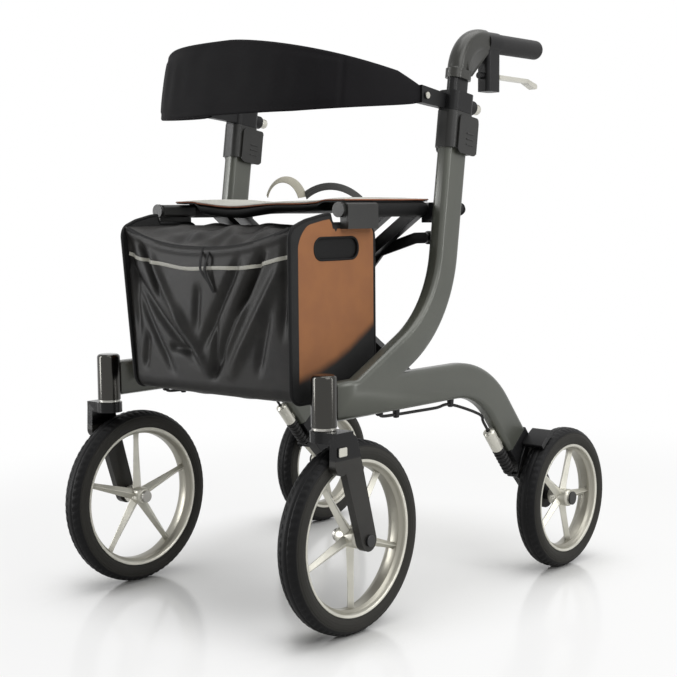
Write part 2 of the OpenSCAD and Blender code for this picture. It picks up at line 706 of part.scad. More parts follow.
// The handlebar: an oval socket on the post, a bend to level, and the bar inside the grip
module handlebar() {
  web_w = 25;
  web_foot = [knee_y + post_to * sin(lean) + post_d / 2 * cos(lean), knee_z + post_to * cos(lean)
    - post_d / 2 * sin(lean)];
  color([0.22, 0.22, 0.21]) difference() {
    union() {
      on_upright() translate([0, 0, post_to - socket_l]) linear_extrude(socket_l + neck_l)
        round_rect(handlebar_w, post_d + 4, 14);
      along_x(side_x - web_w / 2, side_x + web_w / 2) polygon([web_foot, [housing_y,
        grip_z - handlebar_d / 2 + 1],
        [housing_y, grip_z], [handle_bend_y, grip_z], web_foot + [-handlebar_d / 2, handlebar_d / 2]]);
      bend(handle_bend_y, bend_top_z, 90, 90 - lean)
        translate([handle_bend_r, 0]) round_rect(handlebar_d, handlebar_w, 14);
      translate([side_x, handle_bend_y, grip_z]) rotate([-90, 0, 0])
        linear_extrude(housing_y - handle_bend_y) round_rect(handlebar_w, handlebar_d, 14);
      rod_y(housing_y - 1, grip_y + grip_l - 6, bar_r, side_x, grip_z);
    }
    on_upright() translate([0, 0, post_to - 2 * socket_l]) linear_extrude(2 * socket_l)
      round_rect(post_w + 2 * push_gap, post_d + 2 * push_gap, post_w / 2 + push_gap - 0.01);
  }
}

// The grip: a closed sleeve with a rounded rear end
module grip() {
  round_end = 8;
  color([0.07, 0.07, 0.07]) translate([side_x, grip_y, grip_z]) rotate([-90, 0, 0]) difference() {
    rotate_extrude() {
      square([grip_r - round_end, grip_l]);
      square([grip_r, grip_l - round_end]);
      translate([grip_r - round_end, grip_l - round_end]) circle(round_end);
    }
    translate([0, 0, -1]) cylinder(r = bar_r + run_gap, h = grip_l - 4.5);
  }
}

// The brake housing: a clamp round the bar, a hanging case with the lever's slot and pin, a cable adjuster
module brake_housing() {
  rear = housing_y + housing_l;
  color([0.13, 0.13, 0.13]) {
    difference() {
      union() {
        rod_y(housing_y, rear, grip_r + 1.5, side_x, grip_z);
        translate([side_x, housing_y + housing_l / 2, grip_z - housing_drop])
          linear_extrude(housing_drop - 10)
          round_rect(housing_w, housing_l, 8);
        rod_y(housing_y - 11, housing_y + 5, 5.5, side_x, brake_pivot_z - 1);
      }
      rod_y(housing_y - 1, rear + 1, bar_r + run_gap, side_x, grip_z);
      translate([side_x - brake_slot_w / 2 - slide_gap, brake_pivot_y - 9, brake_pivot_z - 11])
        cube([brake_slot_w + 2 * slide_gap, 30, 26]);
    }
    rod_x(side_x - housing_w / 2 + 2, side_x + housing_w / 2 - 2, brake_pin_r, brake_pivot_y, brake_pivot_z);
  }
}

// The brake lever: a flat finger bar with its tip turned down
module brake_lever() {
  rear = housing_y + housing_l;
  bar_h = 3.4;
  bend_p = [rear + 92, brake_pivot_z - 2];
  tip_p = [rear + 118, brake_pivot_z - 10];
  color([0.75, 0.75, 0.72]) difference() {
    union() {
      along_x(side_x - brake_slot_w / 2, side_x + brake_slot_w / 2)
        taper_bar([brake_pivot_y, brake_pivot_z], brake_boss_r, [rear + 8, brake_pivot_z - 1], bar_h);
      along_x(side_x - brake_lever_w / 2, side_x + brake_lever_w / 2) {
        taper_bar([rear + 8, brake_pivot_z - 1], bar_h, bend_p, bar_h);
        taper_bar(bend_p, bar_h, tip_p, bar_h + 1.2);
      }
    }
    rod_x(side_x - brake_lever_w, side_x + brake_lever_w, brake_pin_r + run_gap, brake_pivot_y,
      brake_pivot_z);
  }
}

// The clamp of the back strap: a ring round the post, an arm to the front, a boss for the knob
module backrest_holder() {
  ring_front = upright_y(holder_arm_z) - collar_d / 2 + 4;
  color([0.12, 0.12, 0.12]) difference() {
    union() {
      on_upright() {
        translate([0, 0, holder_from]) linear_extrude(holder_h) round_rect(collar_w, collar_d - 2, 13);
        rod_y(collar_d / 2 - 8, knob_boss_end, 12, 0, knob_at);
      }
      along_x(holder_arm_x - holder_arm_w / 2, holder_arm_x + holder_arm_w / 2) {
        polygon([for (c = [[holder_arm_end, -1, 0], [holder_arm_end, 1, 0], [ring_front, 1, 1],
          [ring_front, -1, 0.6]])
          [c[0], holder_arm_z + c[1] * holder_arm_h / 2 - c[2] * holder_arm_fall]]);
      }
      rod_x(holder_arm_x, holder_arm_x + holder_arm_w / 2 + 2, 6, holder_arm_end + 12, holder_arm_z - 2);
    }
    on_upright() post_slot(holder_from - 2, holder_to + 30);
    on_upright() rod_y(0, knob_boss_end + 1, knob_pin_r + run_gap, 0, knob_at);
  }
}

// The round thumb knob that clamps the back strap's holder to the post
module backrest_knob() {
  color([0.75, 0.75, 0.72]) on_upright() translate([0, 0, knob_at]) rotate([-90, 0, 0]) {
    translate([0, 0, post_d / 2 + 1]) cylinder(r = knob_pin_r, h = knob_boss_end - post_d / 2);
    translate([0, 0, knob_boss_end + slide_gap]) rotate_extrude() {
      square([knob_r - 4, knob_l]);
      translate([0, 4]) square([knob_r, knob_l - 8]);
      translate([knob_r - 4, 4]) circle(4);
      translate([knob_r - 4, knob_l - 4]) circle(4);
    }
  }
}

// A seat tube with its front cap and the hanger that holds the bag's side panel
module seat_tube() {
  hanger_y = seat_tube_front + 2;
  lip_x = bag_w / 2 + 0.6;
  outer_x = pivot_x + 1.5 + hanger_w / 2;
  color([0.15, 0.15, 0.15]) {
    rod_y(seat_tube_front, seat_tube_end, seat_tube_r, pivot_x, seat_z);
    rod_y(seat_tube_front - 4, seat_tube_front + 2, seat_tube_r + 1.2, pivot_x, seat_z);
    along_y(hanger_y, hanger_y + hanger_l) {
      translate([pivot_x + 1.5, seat_z]) round_rect(hanger_w, seat_tube_d + 0.4, 6);
      translate([lip_x, seat_z - hanger_drop]) square([outer_x - lip_x, hanger_drop]);
    }
  }
}

// A flat bar of the X brace from a low pivot to a seat tube, bored for its pins
module brace_bar(y) {
  along_y(y - bar_t / 2, y + bar_t / 2) difference() {
    taper_bar([pivot_x, low_pivot_z], bar_w / 2, [-pivot_x, seat_z], bar_w / 2);
    circle_at([0, cross_z], fold_pin_r + run_gap);
    circle_at([-pivot_x, seat_z], seat_tube_r + run_gap);
  }
}

module circle_at(p, r) translate(p) circle(r);

// Half of the X brace: two bars and the pin that turns in the side frame's lug
module x_brace(bar_y) {
  color([0.08, 0.08, 0.08]) {
    for (s = [-1, 1]) brace_bar(lug_y + s * bar_y);
    rod_y(lug_y - bar_y, lug_y + bar_y, fold_pin_r, pivot_x, low_pivot_z);
  }
}

module x_brace_left() x_brace(inner_bar_y);
module x_brace_right() x_brace(outer_bar_y);

// The bolt through the middle of the X
module cross_bolt() {
  reach = outer_bar_y + bar_t / 2 + 0.3;
  color("silver") {
    rod_y(lug_y - reach - 1, lug_y + reach + 1, fold_pin_r, 0, cross_z);
    for (y = [lug_y - reach - 4, lug_y + reach]) rod_y(y, y + 4, fold_pin_r + 3, 0, cross_z);
  }
}

// A link from the upright to the middle pin that the two links share
module stabiliser_link(side) {
  y = side == "left" ? link_y - link_t - 0.4 : link_y;
  mid_r = link_w / 2;
  color([0.08, 0.08, 0.08]) difference() {
    union() {
      along_y(y - link_t, y) {
        taper_bar([0, link_mid_z], mid_r, [pivot_x - 93, link_z - 23], mid_r);
        taper_bar([pivot_x - 93, link_z - 23], mid_r, [pivot_x - 18, link_z - 0.5], mid_r);
        taper_bar([pivot_x - 18, link_z - 0.5], mid_r, [pivot_x, link_z], mid_r);
      }
      rod_y(y - 1, link_lug_y + link_lug_l / 2, fold_pin_r, pivot_x, link_z);
      if (side == "left") rod_y(y - 1, link_y, fold_pin_r - 1, 0, link_mid_z);
    }
    if (side == "right") rod_y(y - link_t - 1, y + 1, fold_pin_r, 0, link_mid_z);
  }
}

// The cradle on the upright that the seat tube drops into, and its bolt's round cap behind
module seat_cradle() {
  drop = seat_tube_r + 12;
  rear = upright_y(seat_z) + upright_d / 2 / cos(lean);
  cradle_rear = upright_y(seat_z) + 5;
  color([0.07, 0.07, 0.07]) {
    along_y(cradle_rear - 16, cradle_rear) difference() {
      union() {
        translate([pivot_x - 4, seat_z - drop]) square([frame_inner_x - pivot_x + 4, drop]);
        translate([pivot_x + seat_tube_r, seat_z - 1])
          square([frame_inner_x - pivot_x - seat_tube_r, seat_tube_r + 1]);
      }
      circle_at([pivot_x, seat_z], seat_tube_r + slide_gap);
    }
    translate([side_x, rear, seat_z]) rotate([-90 - lean, 0, 0]) {
      cylinder(r = 9, h = 9);
      translate([0, 0, 9]) cylinder(r1 = 11, r2 = 7, h = 7);
    }
  }
}

// Share of the seat's sag at a place across it: none over the tubes, full in the middle
function seat_sag(u) = max(0, 1 - (u / 0.8) ^ 2);

// Height of the seat's top at a place across (u) and along (v) it, each from -1 to 1
function seat_height(u, v) = seat_top - 7 * seat_sag(u) + 2.4 * (1 - v ^ 2) * (1 - u ^ 6)
  + 2.6 * sin(u * 300 + 20) * seat_sag(u) * (1 - v) / 2;

// Thickness of the padded seat at the same place: thin over the tubes, fuller between them
function seat_thick(u, v) = abs(u) > 0.75 ? seat_edge_t : seat_edge_t + 8 * (1 - v ^ 8) + 4;

// Place along the seat of a point across (u) and along (v) it: the front edge runs askew
function seat_y(u, v) = seat_front + seat_skew * (1 - u) * (1 - v) / 4 + seat_depth * (v + 1) / 2;

// The padded seat between and over the seat tubes
module seat_sling() {
  nu = 20;
  nv = 10;
  color([0.8, 0.8, 0.78]) skin([for (i = [0 : nu]) let (u = 2 * i / nu - 1, x = u * seat_half) concat(
    [for (j = [0 : nv]) let (v = 2 * j / nv - 1)
      [x, seat_y(u, v), seat_height(u, v)]],
    [for (j = [nv : -1 : 0]) let (v = 2 * j / nv - 1)
      [x, seat_y(u, v), seat_height(u, v) - seat_thick(u, v)]])]);
}

// A side panel's outline: a box with round corners whose top rises in front of the seat tube
module bag_side() {
  crest = seat_tube_front - 17;
  translate([bag_front + bag_depth / 2, bag_bottom + bag_h / 2]) round_rect(bag_depth, bag_h, bag_round);
  polygon([[bag_front + bag_round - 4, bag_top - 1], [bag_front + 36, bag_top + 6],
    [crest - 18, bag_top + panel_rise - 2],
    [crest, bag_top + panel_rise], [crest, bag_top - 1]]);
}

// The bag's outline at a place across it (u, from -1 to 1)
// The lid falls to a front lip that sags between the panels
function bag_ring(u, x) =
  let (m = 1 - abs(u) ^ 2.4, lip = bag_top - bag_lip_drop - bag_lip_sag * m,
    back_top = bag_top - 3 - bag_lid_sag * m,
    front = bag_front + bag_swell * (1 - m), r = bag_round, run = bag_back - front - 2,
    upper = concat(
      [for (t = [0.05, 0.5, 0.9]) [bag_back, bag_bottom + r + t * (back_top - bag_bottom - r)]],
      [for (t = [0.02, 0.2, 0.4, 0.6, 0.8, 0.93, 1])
        [bag_back - 2 - t * run, back_top - (back_top - lip) * t ^ 1.6 + 9 * m * sin(180 * t)]]),
    lower = concat(
      [for (a = [20, 45, 70]) [bag_back - r + r * cos(a), bag_bottom + r - r * sin(a)]],
      [[bag_back - 0.5 * run, bag_bottom + 0.5]],
      [for (a = [110, 135, 160]) [front + r + r * cos(a), bag_bottom + r - r * sin(a)]],
      [for (t = [0.25, 0.6, 0.93]) [front + 3 * (1 - m) * t,
        bag_bottom + r + t * (lip - bag_bottom - r)]]))
    [for (p = concat(upper, [for (k = [len(lower) - 1 : -1 : 0]) lower[k]]))
      [x + (1 - u) / 2 * bag_tuck(p[0], p[1]), p[0], p[1]]];

// How far the bag's right side is drawn in at a place: that panel hangs turned and leaning
function bag_tuck(y, z) = (bag_back - y) * tan(bag_turn) + (bag_top - z) * tan(bag_lean) - 0.2;

// The bag between its side panels
module bag_body() {
  half = bag_w / 2 - panel_t - 0.3;
  steps = 20;
  color([0.12, 0.12, 0.12]) skin([for (i = [0 : steps]) let (u = 2 * i / steps - 1) bag_ring(u, u * half)]);
}

// The two stiff side panels, each with an oval hand hole
module bag_panels() {
  top_edge = [-bag_w / 2 - 0.5, bag_back, bag_top];
  color([0.58, 0.4, 0.27]) {
    side_panel(bag_w / 2 - panel_t);
    translate(top_edge) rotate([0, -bag_lean, bag_turn]) translate([0, -bag_back, -bag_top]) side_panel(0);
  }
}

// A side panel, from an inner face at x
module side_panel(x) {
  along_x(x, x + panel_t) difference() {
    bag_side();
    translate([bag_back - 92, bag_top - 37]) round_rect(103, 34, 16);
  }
}

// Share of the back strap's rise at a place along it: even on the left, fuller on the right
function strap_rise(a) = a <= 90 ? a / 90 : 1 - ((a - 90) / 90) ^ 3;

// Share of a quick swell over the first degrees from either end
function strap_swell(a, over, power) = min(1, min(a, 180 - a) / over) ^ power;

// A place on the back strap's middle line in plan, as it goes round from one end to the other
function strap_plan(a, half, reach) =
  [half * sign(cos(a)) * abs(cos(a)) ^ 0.72, strap_y - reach * abs(sin(a)) ^ 0.72];

// A ring of the back strap, standing across its middle line
function strap_ring(a) =
  let (rise = strap_rise(a), low = holder_arm_z - strap_end_h / 2 - strap_drop * strap_swell(a, 62, 0.5),
    high = holder_arm_z + strap_end_h / 2 + strap_ear * strap_swell(a, 9, 0.6) + strap_full * rise,
    p = strap_plan(a, strap_half, strap_reach), q = strap_plan(min(a + 0.5, 180), strap_half, strap_reach),
    o = strap_plan(max(a - 0.5, 0), strap_half, strap_reach), d = (q - o) / norm(q - o), n = [d[1], -d[0]])
    [for (k = [0 : 9]) let (c = 36 * k, e = strap_t / 2 * cos(c), h = (1 + sin(c)) / 2)
      [p[0] + n[0] * e, p[1] + n[1] * e + strap_lean * rise * h, low + (high - low) * h]];

// The padded back strap, bowed out in front between the two holders
module backrest_strap() {
  steps = 60;
  color([0.08, 0.08, 0.08]) skin([for (i = [0 : steps]) strap_ring(180 * i / steps)]);
}

// The two pull straps on the seat, which lift it to fold the rollator
module pull_straps() {
  y = seat_front + seat_depth * 0.59;
  color([0.7, 0.7, 0.66]) strap_loop(light_loop, y, loop_w);
  color([0.1, 0.1, 0.1]) strap_loop(dark_loop, y + 4, loop_w);
}

// Height of the seat's top at a place in plan
function seat_at(x, y) = let (u = x / seat_half, k = seat_skew * (1 - u) / 2)
  seat_height(u, 2 * (y - seat_front - k) / (seat_depth - k) - 1);

// A strap that stands up in an arc above the seat, given its middle, half span and rise
module strap_loop(loop, y, w) {
  x = loop[0];
  half = loop[1];
  rise = loop[2];
  r = (half ^ 2 + rise ^ 2) / (2 * rise);
  low = [for (s = [-1, 1]) seat_at(x + s * half, y + w / 2) + 0.7];
  along_y(y, y + w) intersection() {
    translate([x, seat_top + rise - r]) difference() {
      circle(r);
      circle(r - 1.6);
    }
    polygon([[x - half - 9, low[0]], [x + half + 9, low[1]], [x + 2 * half, seat_top + 2 * rise],
      [x - 2 * half, seat_top + 2 * rise]]);
  }
}

for (side = SIDES) {
  on_side(side) side_frame();
  on_side(side) axle_block();
  on_side(side) height_collar();
  on_side(side) collar_lever();
  on_side(side) handle_stem();
  on_side(side) handlebar();
  on_side(side) grip();
  on_side(side) brake_housing();
  on_side(side) brake_lever();
  on_side(side) backrest_holder();
  on_side(side) backrest_knob();
  on_side(side) fork();
  on_side(side) head_bearings();
  on_side(side) front_tyre();
  on_side(side) front_rim(side);
  on_side(side) front_axle();
  on_side(side) rear_tyre();
  on_side(side) rear_rim();
  on_side(side) rear_axle();
  on_side(side) brake_arm();
  on_side(side) brake_barrel();
  on_side(side) brake_boot();
  on_side(side) brake_cable();
  on_side(side) seat_tube();
  on_side(side) stabiliser_link(side);
  on_side(side) seat_cradle();
}
on_side("left") x_brace_left();
on_side("right") x_brace_right();
cross_bolt();
seat_sling();
bag_body();
bag_panels();
backrest_strap();
pull_straps();
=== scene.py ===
# %% [markdown]
# # A rollator for rough paths
# A rollator is a walking frame on wheels. Its hard parts (tubes, forks, levers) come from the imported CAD
# model. This lesson rounds their edges and gives them finishes, and makes the soft parts and the wheels
# anew as surfaces of two parameters. +Z is up, -Y is the way it rolls, +X is the walker's left. Shapes are
# in millimetres until a mesh is made; the camera, the finishes and the lamps are in metres.

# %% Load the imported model
import json
import math

import bmesh
import bpy
import numpy as np
from mathutils import Matrix, Vector


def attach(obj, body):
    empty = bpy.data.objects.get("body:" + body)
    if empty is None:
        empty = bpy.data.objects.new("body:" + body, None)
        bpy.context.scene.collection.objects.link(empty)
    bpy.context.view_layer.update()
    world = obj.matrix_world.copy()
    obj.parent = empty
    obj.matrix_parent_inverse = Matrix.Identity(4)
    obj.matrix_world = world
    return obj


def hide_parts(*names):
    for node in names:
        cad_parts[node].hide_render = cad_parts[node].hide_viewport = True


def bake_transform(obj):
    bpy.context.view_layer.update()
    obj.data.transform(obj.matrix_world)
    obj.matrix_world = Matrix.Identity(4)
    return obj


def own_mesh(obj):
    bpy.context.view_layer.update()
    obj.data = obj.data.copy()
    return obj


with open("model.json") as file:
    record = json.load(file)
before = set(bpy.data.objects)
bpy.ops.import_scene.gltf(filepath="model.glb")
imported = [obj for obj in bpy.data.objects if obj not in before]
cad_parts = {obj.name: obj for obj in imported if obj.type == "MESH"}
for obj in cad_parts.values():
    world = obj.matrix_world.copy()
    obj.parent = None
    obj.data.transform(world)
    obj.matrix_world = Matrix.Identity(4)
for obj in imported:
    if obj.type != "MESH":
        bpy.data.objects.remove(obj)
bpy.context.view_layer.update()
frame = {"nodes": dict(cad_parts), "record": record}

scene = bpy.context.scene
cad = frame["nodes"]
bodies = frame["record"]["behaviour"]["bodies"]
carrier = {name: body for body, names in bodies.items() for name in names}
SIDES = (("left", 1), ("right", -1))

# %% [markdown]
# ## The camera
# The photograph was taken from the front left, at about the seat's height and looking a little down. A
# camera can be aimed at a target, but the photograph is also rolled by half a degree, so its three axes are
# worked out from the compass angle, the downward pitch and the roll.

# %% Camera
EYE = (1.5393, -1.7921, 0.6474)
FOCAL = 71.26
turn, pitch, roll = (math.radians(v) for v in (40.605, 5.504, -0.509))
ahead = Vector((-math.sin(turn) * math.cos(pitch), math.cos(turn) * math.cos(pitch), -math.sin(pitch)))
level = Vector((math.cos(turn), math.sin(turn), 0))
above = level.cross(ahead)
right = level * math.cos(roll) + above * math.sin(roll)
up = above * math.cos(roll) - level * math.sin(roll)
lens = bpy.data.cameras.new("camera")
lens.lens = FOCAL
lens.sensor_width = 36
lens.sensor_fit = "HORIZONTAL"
camera = bpy.data.objects.new("camera", lens)
camera.matrix_world = Matrix.Translation(EYE) @ Matrix((right, up, -ahead)).transposed().to_4x4()
scene.collection.objects.link(camera)
scene.camera = camera
print("camera at", EYE)

# %% [markdown]
# ## Surfaces from arrays
# Every new piece is a grid of points: rows follow a path, columns go round a profile. One function joins
# the grid with quads, one makes the mesh, and one hangs the piece on its body. Bmesh or modifiers could
# build the same shapes step by step, but whole arrays keep each shape's formula in one place.

# %% Grids, tubes and smooth curves
MM = 0.001


def grid(points, wrap_rows=False):
    """Quads between neighbours of a (rows, columns, 3) grid; columns close, open rows end in flat caps."""
    rows, cols = points.shape[:2]
    i, j = np.meshgrid(np.arange(rows - (not wrap_rows)), np.arange(cols), indexing="ij")
    k, m = (i + 1) % rows, (j + 1) % cols
    faces = [np.stack([i * cols + j, k * cols + j, k * cols + m, i * cols + m], -1).reshape(-1, 4)]
    if not wrap_rows:
        ring = np.arange(cols)[None]
        faces += [ring, ring + (rows - 1) * cols]
    return points.reshape(-1, 3), faces


def smooth(points, per):
    """A cubic through the points; its slope at each is half the step between that one's neighbours."""
    p = np.asarray(points, float)
    padded = np.vstack([p[:1], p, p[-1:]])
    a, b, c, d = (padded[k:len(padded) - 3 + k, None] for k in range(4))
    t = (np.arange(per) / per)[None, :, None]
    square, cube = 2 * a - 5 * b + 4 * c - d, 3 * b - a - 3 * c + d
    curve = 0.5 * (2 * b + (c - a) * t + square * t ** 2 + cube * t ** 3)
    return np.vstack([curve.reshape(-1, p.shape[1]), p[-1:]])


def unit(v):
    """The vectors, each divided by its own length."""
    return v / np.maximum(np.linalg.norm(v, axis=-1, keepdims=True), 1e-12)


def along(path, profile, side, closed=False):
    """A profile of (across, out) carried along a path: across follows the side, out stands square to both."""
    p = np.asarray(path, float)
    step = np.roll(p, -1, 0) - np.roll(p, 1, 0) if closed else np.gradient(p, axis=0)
    t = unit(step)
    s = np.broadcast_to(np.asarray(side, float), p.shape)
    s = unit(s - (s * t).sum(-1, keepdims=True) * t)
    n = np.cross(t, s)
    profile = np.asarray(profile, float)
    points = p[:, None] + s[:, None] * profile[None, :, :1] + n[:, None] * profile[None, :, 1:]
    return grid(points, wrap_rows=closed)


def circle(radius, sides=12):
    """Points of a circle."""
    a = np.linspace(0, 2 * np.pi, sides, endpoint=False)
    return radius * np.stack([np.cos(a), np.sin(a)], -1)


def round_rect(width, height, radius, corner=6):
    """A rectangle with round corners: quarter circles about four centres, joined by straight sides."""
    a = np.linspace(0, np.pi / 2, corner)
    quarter = np.stack([np.cos(a), np.sin(a)], -1) * radius
    w, h = width / 2 - radius, height / 2 - radius
    spin = [np.array([[c, -s], [s, c]]) for c, s in ((1, 0), (0, 1), (-1, 0), (0, -1))]
    centres = ((w, h), (-w, h), (-w, -h), (w, -h))
    return np.vstack([quarter @ m.T + c for m, c in zip(spin, centres)])


def slab(outline, start, end):
    """A flat outline of (y, z) given a thickness from one x to another."""
    return grid(np.stack([np.column_stack([np.full(len(outline), x), outline]) for x in (start, end)]))


def make(name, *shells, sharp=40, flip=False):
    """One object from shells of points (in millimetres) and faces, merged, turned outwards and shaded."""
    points = np.vstack([s[0] for s in shells]) * MM * ((-1, 1, 1) if flip else (1, 1, 1))
    starts = np.cumsum([0] + [len(s[0]) for s in shells[:-1]])
    faces = [f for s, k in zip(shells, starts) for block in s[1] for f in (block + k).tolist()]
    mesh = bpy.data.meshes.new(name)
    mesh.from_pydata(points.tolist(), [], faces)
    shape = bmesh.new()
    shape.from_mesh(mesh)
    bmesh.ops.remove_doubles(shape, verts=shape.verts, dist=1e-6)
    bmesh.ops.dissolve_degenerate(shape, edges=shape.edges, dist=1e-6)
    bmesh.ops.recalc_face_normals(shape, faces=shape.faces)
    shape.to_mesh(mesh)
    shape.free()
    return shade(bpy.data.objects.new(name, mesh), sharp)


def shade(piece, sharp):
    """Links a piece to the scene and shades it smooth, except over edges sharper than the angle."""
    mesh = piece.data
    mesh.polygons.foreach_set("use_smooth", np.ones(len(mesh.polygons), bool))
    mesh.set_sharp_from_angle(angle=math.radians(sharp))
    scene.collection.objects.link(piece)
    return piece


def places(piece):
    """The piece's points as an array, in millimetres."""
    co = np.empty(len(piece.data.vertices) * 3)
    piece.data.vertices.foreach_get("co", co)
    return co.reshape(-1, 3) / MM


def note(piece, name, values):
    """Writes one number per point, for a finish to read."""
    piece.data.attributes.new(name, "FLOAT", "POINT").data.foreach_set("value", np.asarray(values, float))


def dress(piece, body, slot, *nodes, finish=None):
    """Hangs a piece on its body, with a finish (its slot's, unless named) and the CAD nodes it stands for."""
    piece.data.materials.clear()
    piece.data.materials.append(FINISH[finish or slot])
    if body:
        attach(piece, body)
    if nodes:
        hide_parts(*nodes)
    return piece


print("surface tools ready")

# %% [markdown]
# ## Shader maths as expressions
# A finish is a colour, a roughness and a fine relief, each varied a little over the surface. Nodes could be
# wired one by one; here a socket is wrapped so that Python's own operators add the nodes, and the wiring
# reads as a formula.

# %% Sockets and paints


class Wire:
    """A shader value; operators on it add Math nodes."""

    def __init__(self, paint, socket):
        self.paint = paint
        self.socket = socket

    def maths(self, operation, *values):
        return self.paint.node("ShaderNodeMath", {"operation": operation}, dict(enumerate(values)))

    def __add__(self, other):
        return self.maths("ADD", self, other)

    def __sub__(self, other):
        return self.maths("SUBTRACT", self, other)

    def __rsub__(self, other):
        return self.maths("SUBTRACT", other, self)

    def __mul__(self, other):
        return self.maths("MULTIPLY", self, other)

    def __pow__(self, other):
        return self.maths("POWER", self, other)

    def __abs__(self):
        return self.maths("ABSOLUTE", self)

    def sine(self):
        return self.maths("SINE", self)

    def most(self, other):
        return self.maths("MAXIMUM", self, other)

    def step(self, low, high):
        """0 below low, 1 above high, and a soft S between them."""
        soft = {"interpolation_type": "SMOOTHSTEP"}
        return self.paint.node("ShaderNodeMapRange", soft, {0: self, 1: low, 2: high})

    __radd__ = __add__
    __rmul__ = __mul__


class Paint:
    """A material under construction."""

    def __init__(self, name):
        self.material = bpy.data.materials.new(name)
        self.material.use_nodes = True
        self.tree = self.material.node_tree
        self.shader = self.tree.nodes["Principled BSDF"]

    def node(self, kind, settings=None, sockets=None, out=0):
        """A node of a kind: its settings first, then values or links for its sockets; gives one output."""
        made = self.tree.nodes.new(kind)
        for name, value in (settings or {}).items():
            setattr(made, name, value)
        for key, value in (sockets or {}).items():
            self.feed(made.inputs[key], value)
        return Wire(self, made.outputs[out])

    def feed(self, socket, value):
        """Links a wire to a socket, or sets a plain value on it."""
        if isinstance(value, Wire):
            self.tree.links.new(value.socket, socket)
        else:
            socket.default_value = value

    def spot(self):
        """Object coordinates, which keep to the piece as it moves."""
        return self.node("ShaderNodeTexCoord", out="Object")

    def axes(self):
        """The object coordinates' x, y and z as three wires."""
        split = self.node("ShaderNodeSeparateXYZ", None, {0: self.spot()})
        return [Wire(self, s) for s in split.socket.node.outputs]

    def noise(self, scale, detail=3.0):
        """Soft noise of a scale per metre."""
        sockets = {"Vector": self.spot(), "Scale": scale, "Detail": detail}
        return self.node("ShaderNodeTexNoise", None, sockets)

    def attribute(self, name):
        return self.node("ShaderNodeAttribute", {"attribute_name": name}, out="Fac")

    def on_view(self):
        """1 for rays from the camera and for those in reflections and glass, 0 for rays that carry light."""
        rays = self.node("ShaderNodeLightPath").socket.node.outputs
        kinds = ("Camera", "Glossy", "Transmission")
        direct, mirrored, through = (Wire(self, rays[f"Is {kind} Ray"]) for kind in kinds)
        return direct.most(mirrored).most(through)

    def mix(self, share, first, second):
        """A blend of two colours."""
        return self.node("ShaderNodeMix", {"data_type": "RGBA"}, {0: share, 6: first, 7: second}, out=2)

    def finish(self, colour, rough, relief=None, depth=0.0001, **constants):
        """Feeds the shader: colour, roughness, relief of a depth in metres, and values by socket name."""
        self.feed(self.shader.inputs["Base Color"], colour)
        self.feed(self.shader.inputs["Roughness"], rough)
        for name, value in constants.items():
            self.feed(self.shader.inputs[name.replace("_", " ")], value)
        if relief is not None:
            bump = self.node("ShaderNodeBump", None, {"Strength": 1.0, "Distance": depth, "Height": relief})
            self.feed(self.shader.inputs["Normal"], bump)
        return self.material


def tone(red, green, blue):
    """A screen colour of 0 to 255 as the shader's linear colour."""
    c = np.array([red, green, blue]) / 255
    linear = np.where(c <= 0.04045, c / 12.92, ((c + 0.055) / 1.055) ** 2.4)
    return (*linear.tolist(), 1.0)


print("shader tools ready")

# %% [markdown]
# ## Hard finishes
# The tubes are satin-painted with a little metallic flake, the mouldings have a fine spark-eroded grain, and
# the small metal parts are plated. Each finish takes two close colours mixed by broad noise, so no surface
# is one flat colour, and a grain about a millimetre wide or finer.

# %% Paint, plastic and metal


SIDE_X = 245.0
HEAD_Y = -316.5
HEAD_EDGE = (0.0205, 0.0215)
CROWN_EDGE = (0.279, 0.283)
LEG_EDGE = (0.266, 0.268)
FINISH = {}


def head_zone(p):
    """1 within 21 mm of the upright axis of either head tube."""
    x, y, _ = p.axes()
    across, along_y = abs(x) - SIDE_X * MM, y - HEAD_Y * MM
    return 1 - ((across * across + along_y * along_y) ** 0.5).step(*HEAD_EDGE)


def crown_zone(p):
    """1 above the fork's leg."""
    return p.axes()[2].step(*CROWN_EDGE)


def outer_zone(p):
    """1 outside the fork's leg."""
    return abs(p.axes()[0]).step(*LEG_EDGE)


def hard_finish(name, light, dark, rough, metallic=0.0, grain=900.0, depth=0.00004, patch=14.0, coat=0.0,
                shine=0.5, zone=None, zone_colour=(0, 0, 0), zone_rough=0.2, zone_metallic=0.0):
    """Two colours mixed by broad noise, which roughness follows; relief is the grain; a zone may differ."""
    p = Paint(name)
    broad = p.noise(patch, 4.0)
    fine = p.noise(grain, 2.0)
    colour = p.mix((broad * 0.7 + fine * 0.3).step(0.3, 0.7), tone(*dark), tone(*light))
    gloss = rough + (broad - 0.5) * 0.16 + (fine - 0.5) * 0.1
    if zone:
        share = zone(p)
        colour = p.mix(share, colour, tone(*zone_colour))
        gloss = gloss + share * (zone_rough - rough)
        metallic = metallic + share * (zone_metallic - metallic)
    FINISH[name] = p.finish(colour, gloss, fine, depth, Metallic=metallic, Coat_Weight=coat,
                            Coat_Roughness=0.2, Specular_IOR_Level=shine)


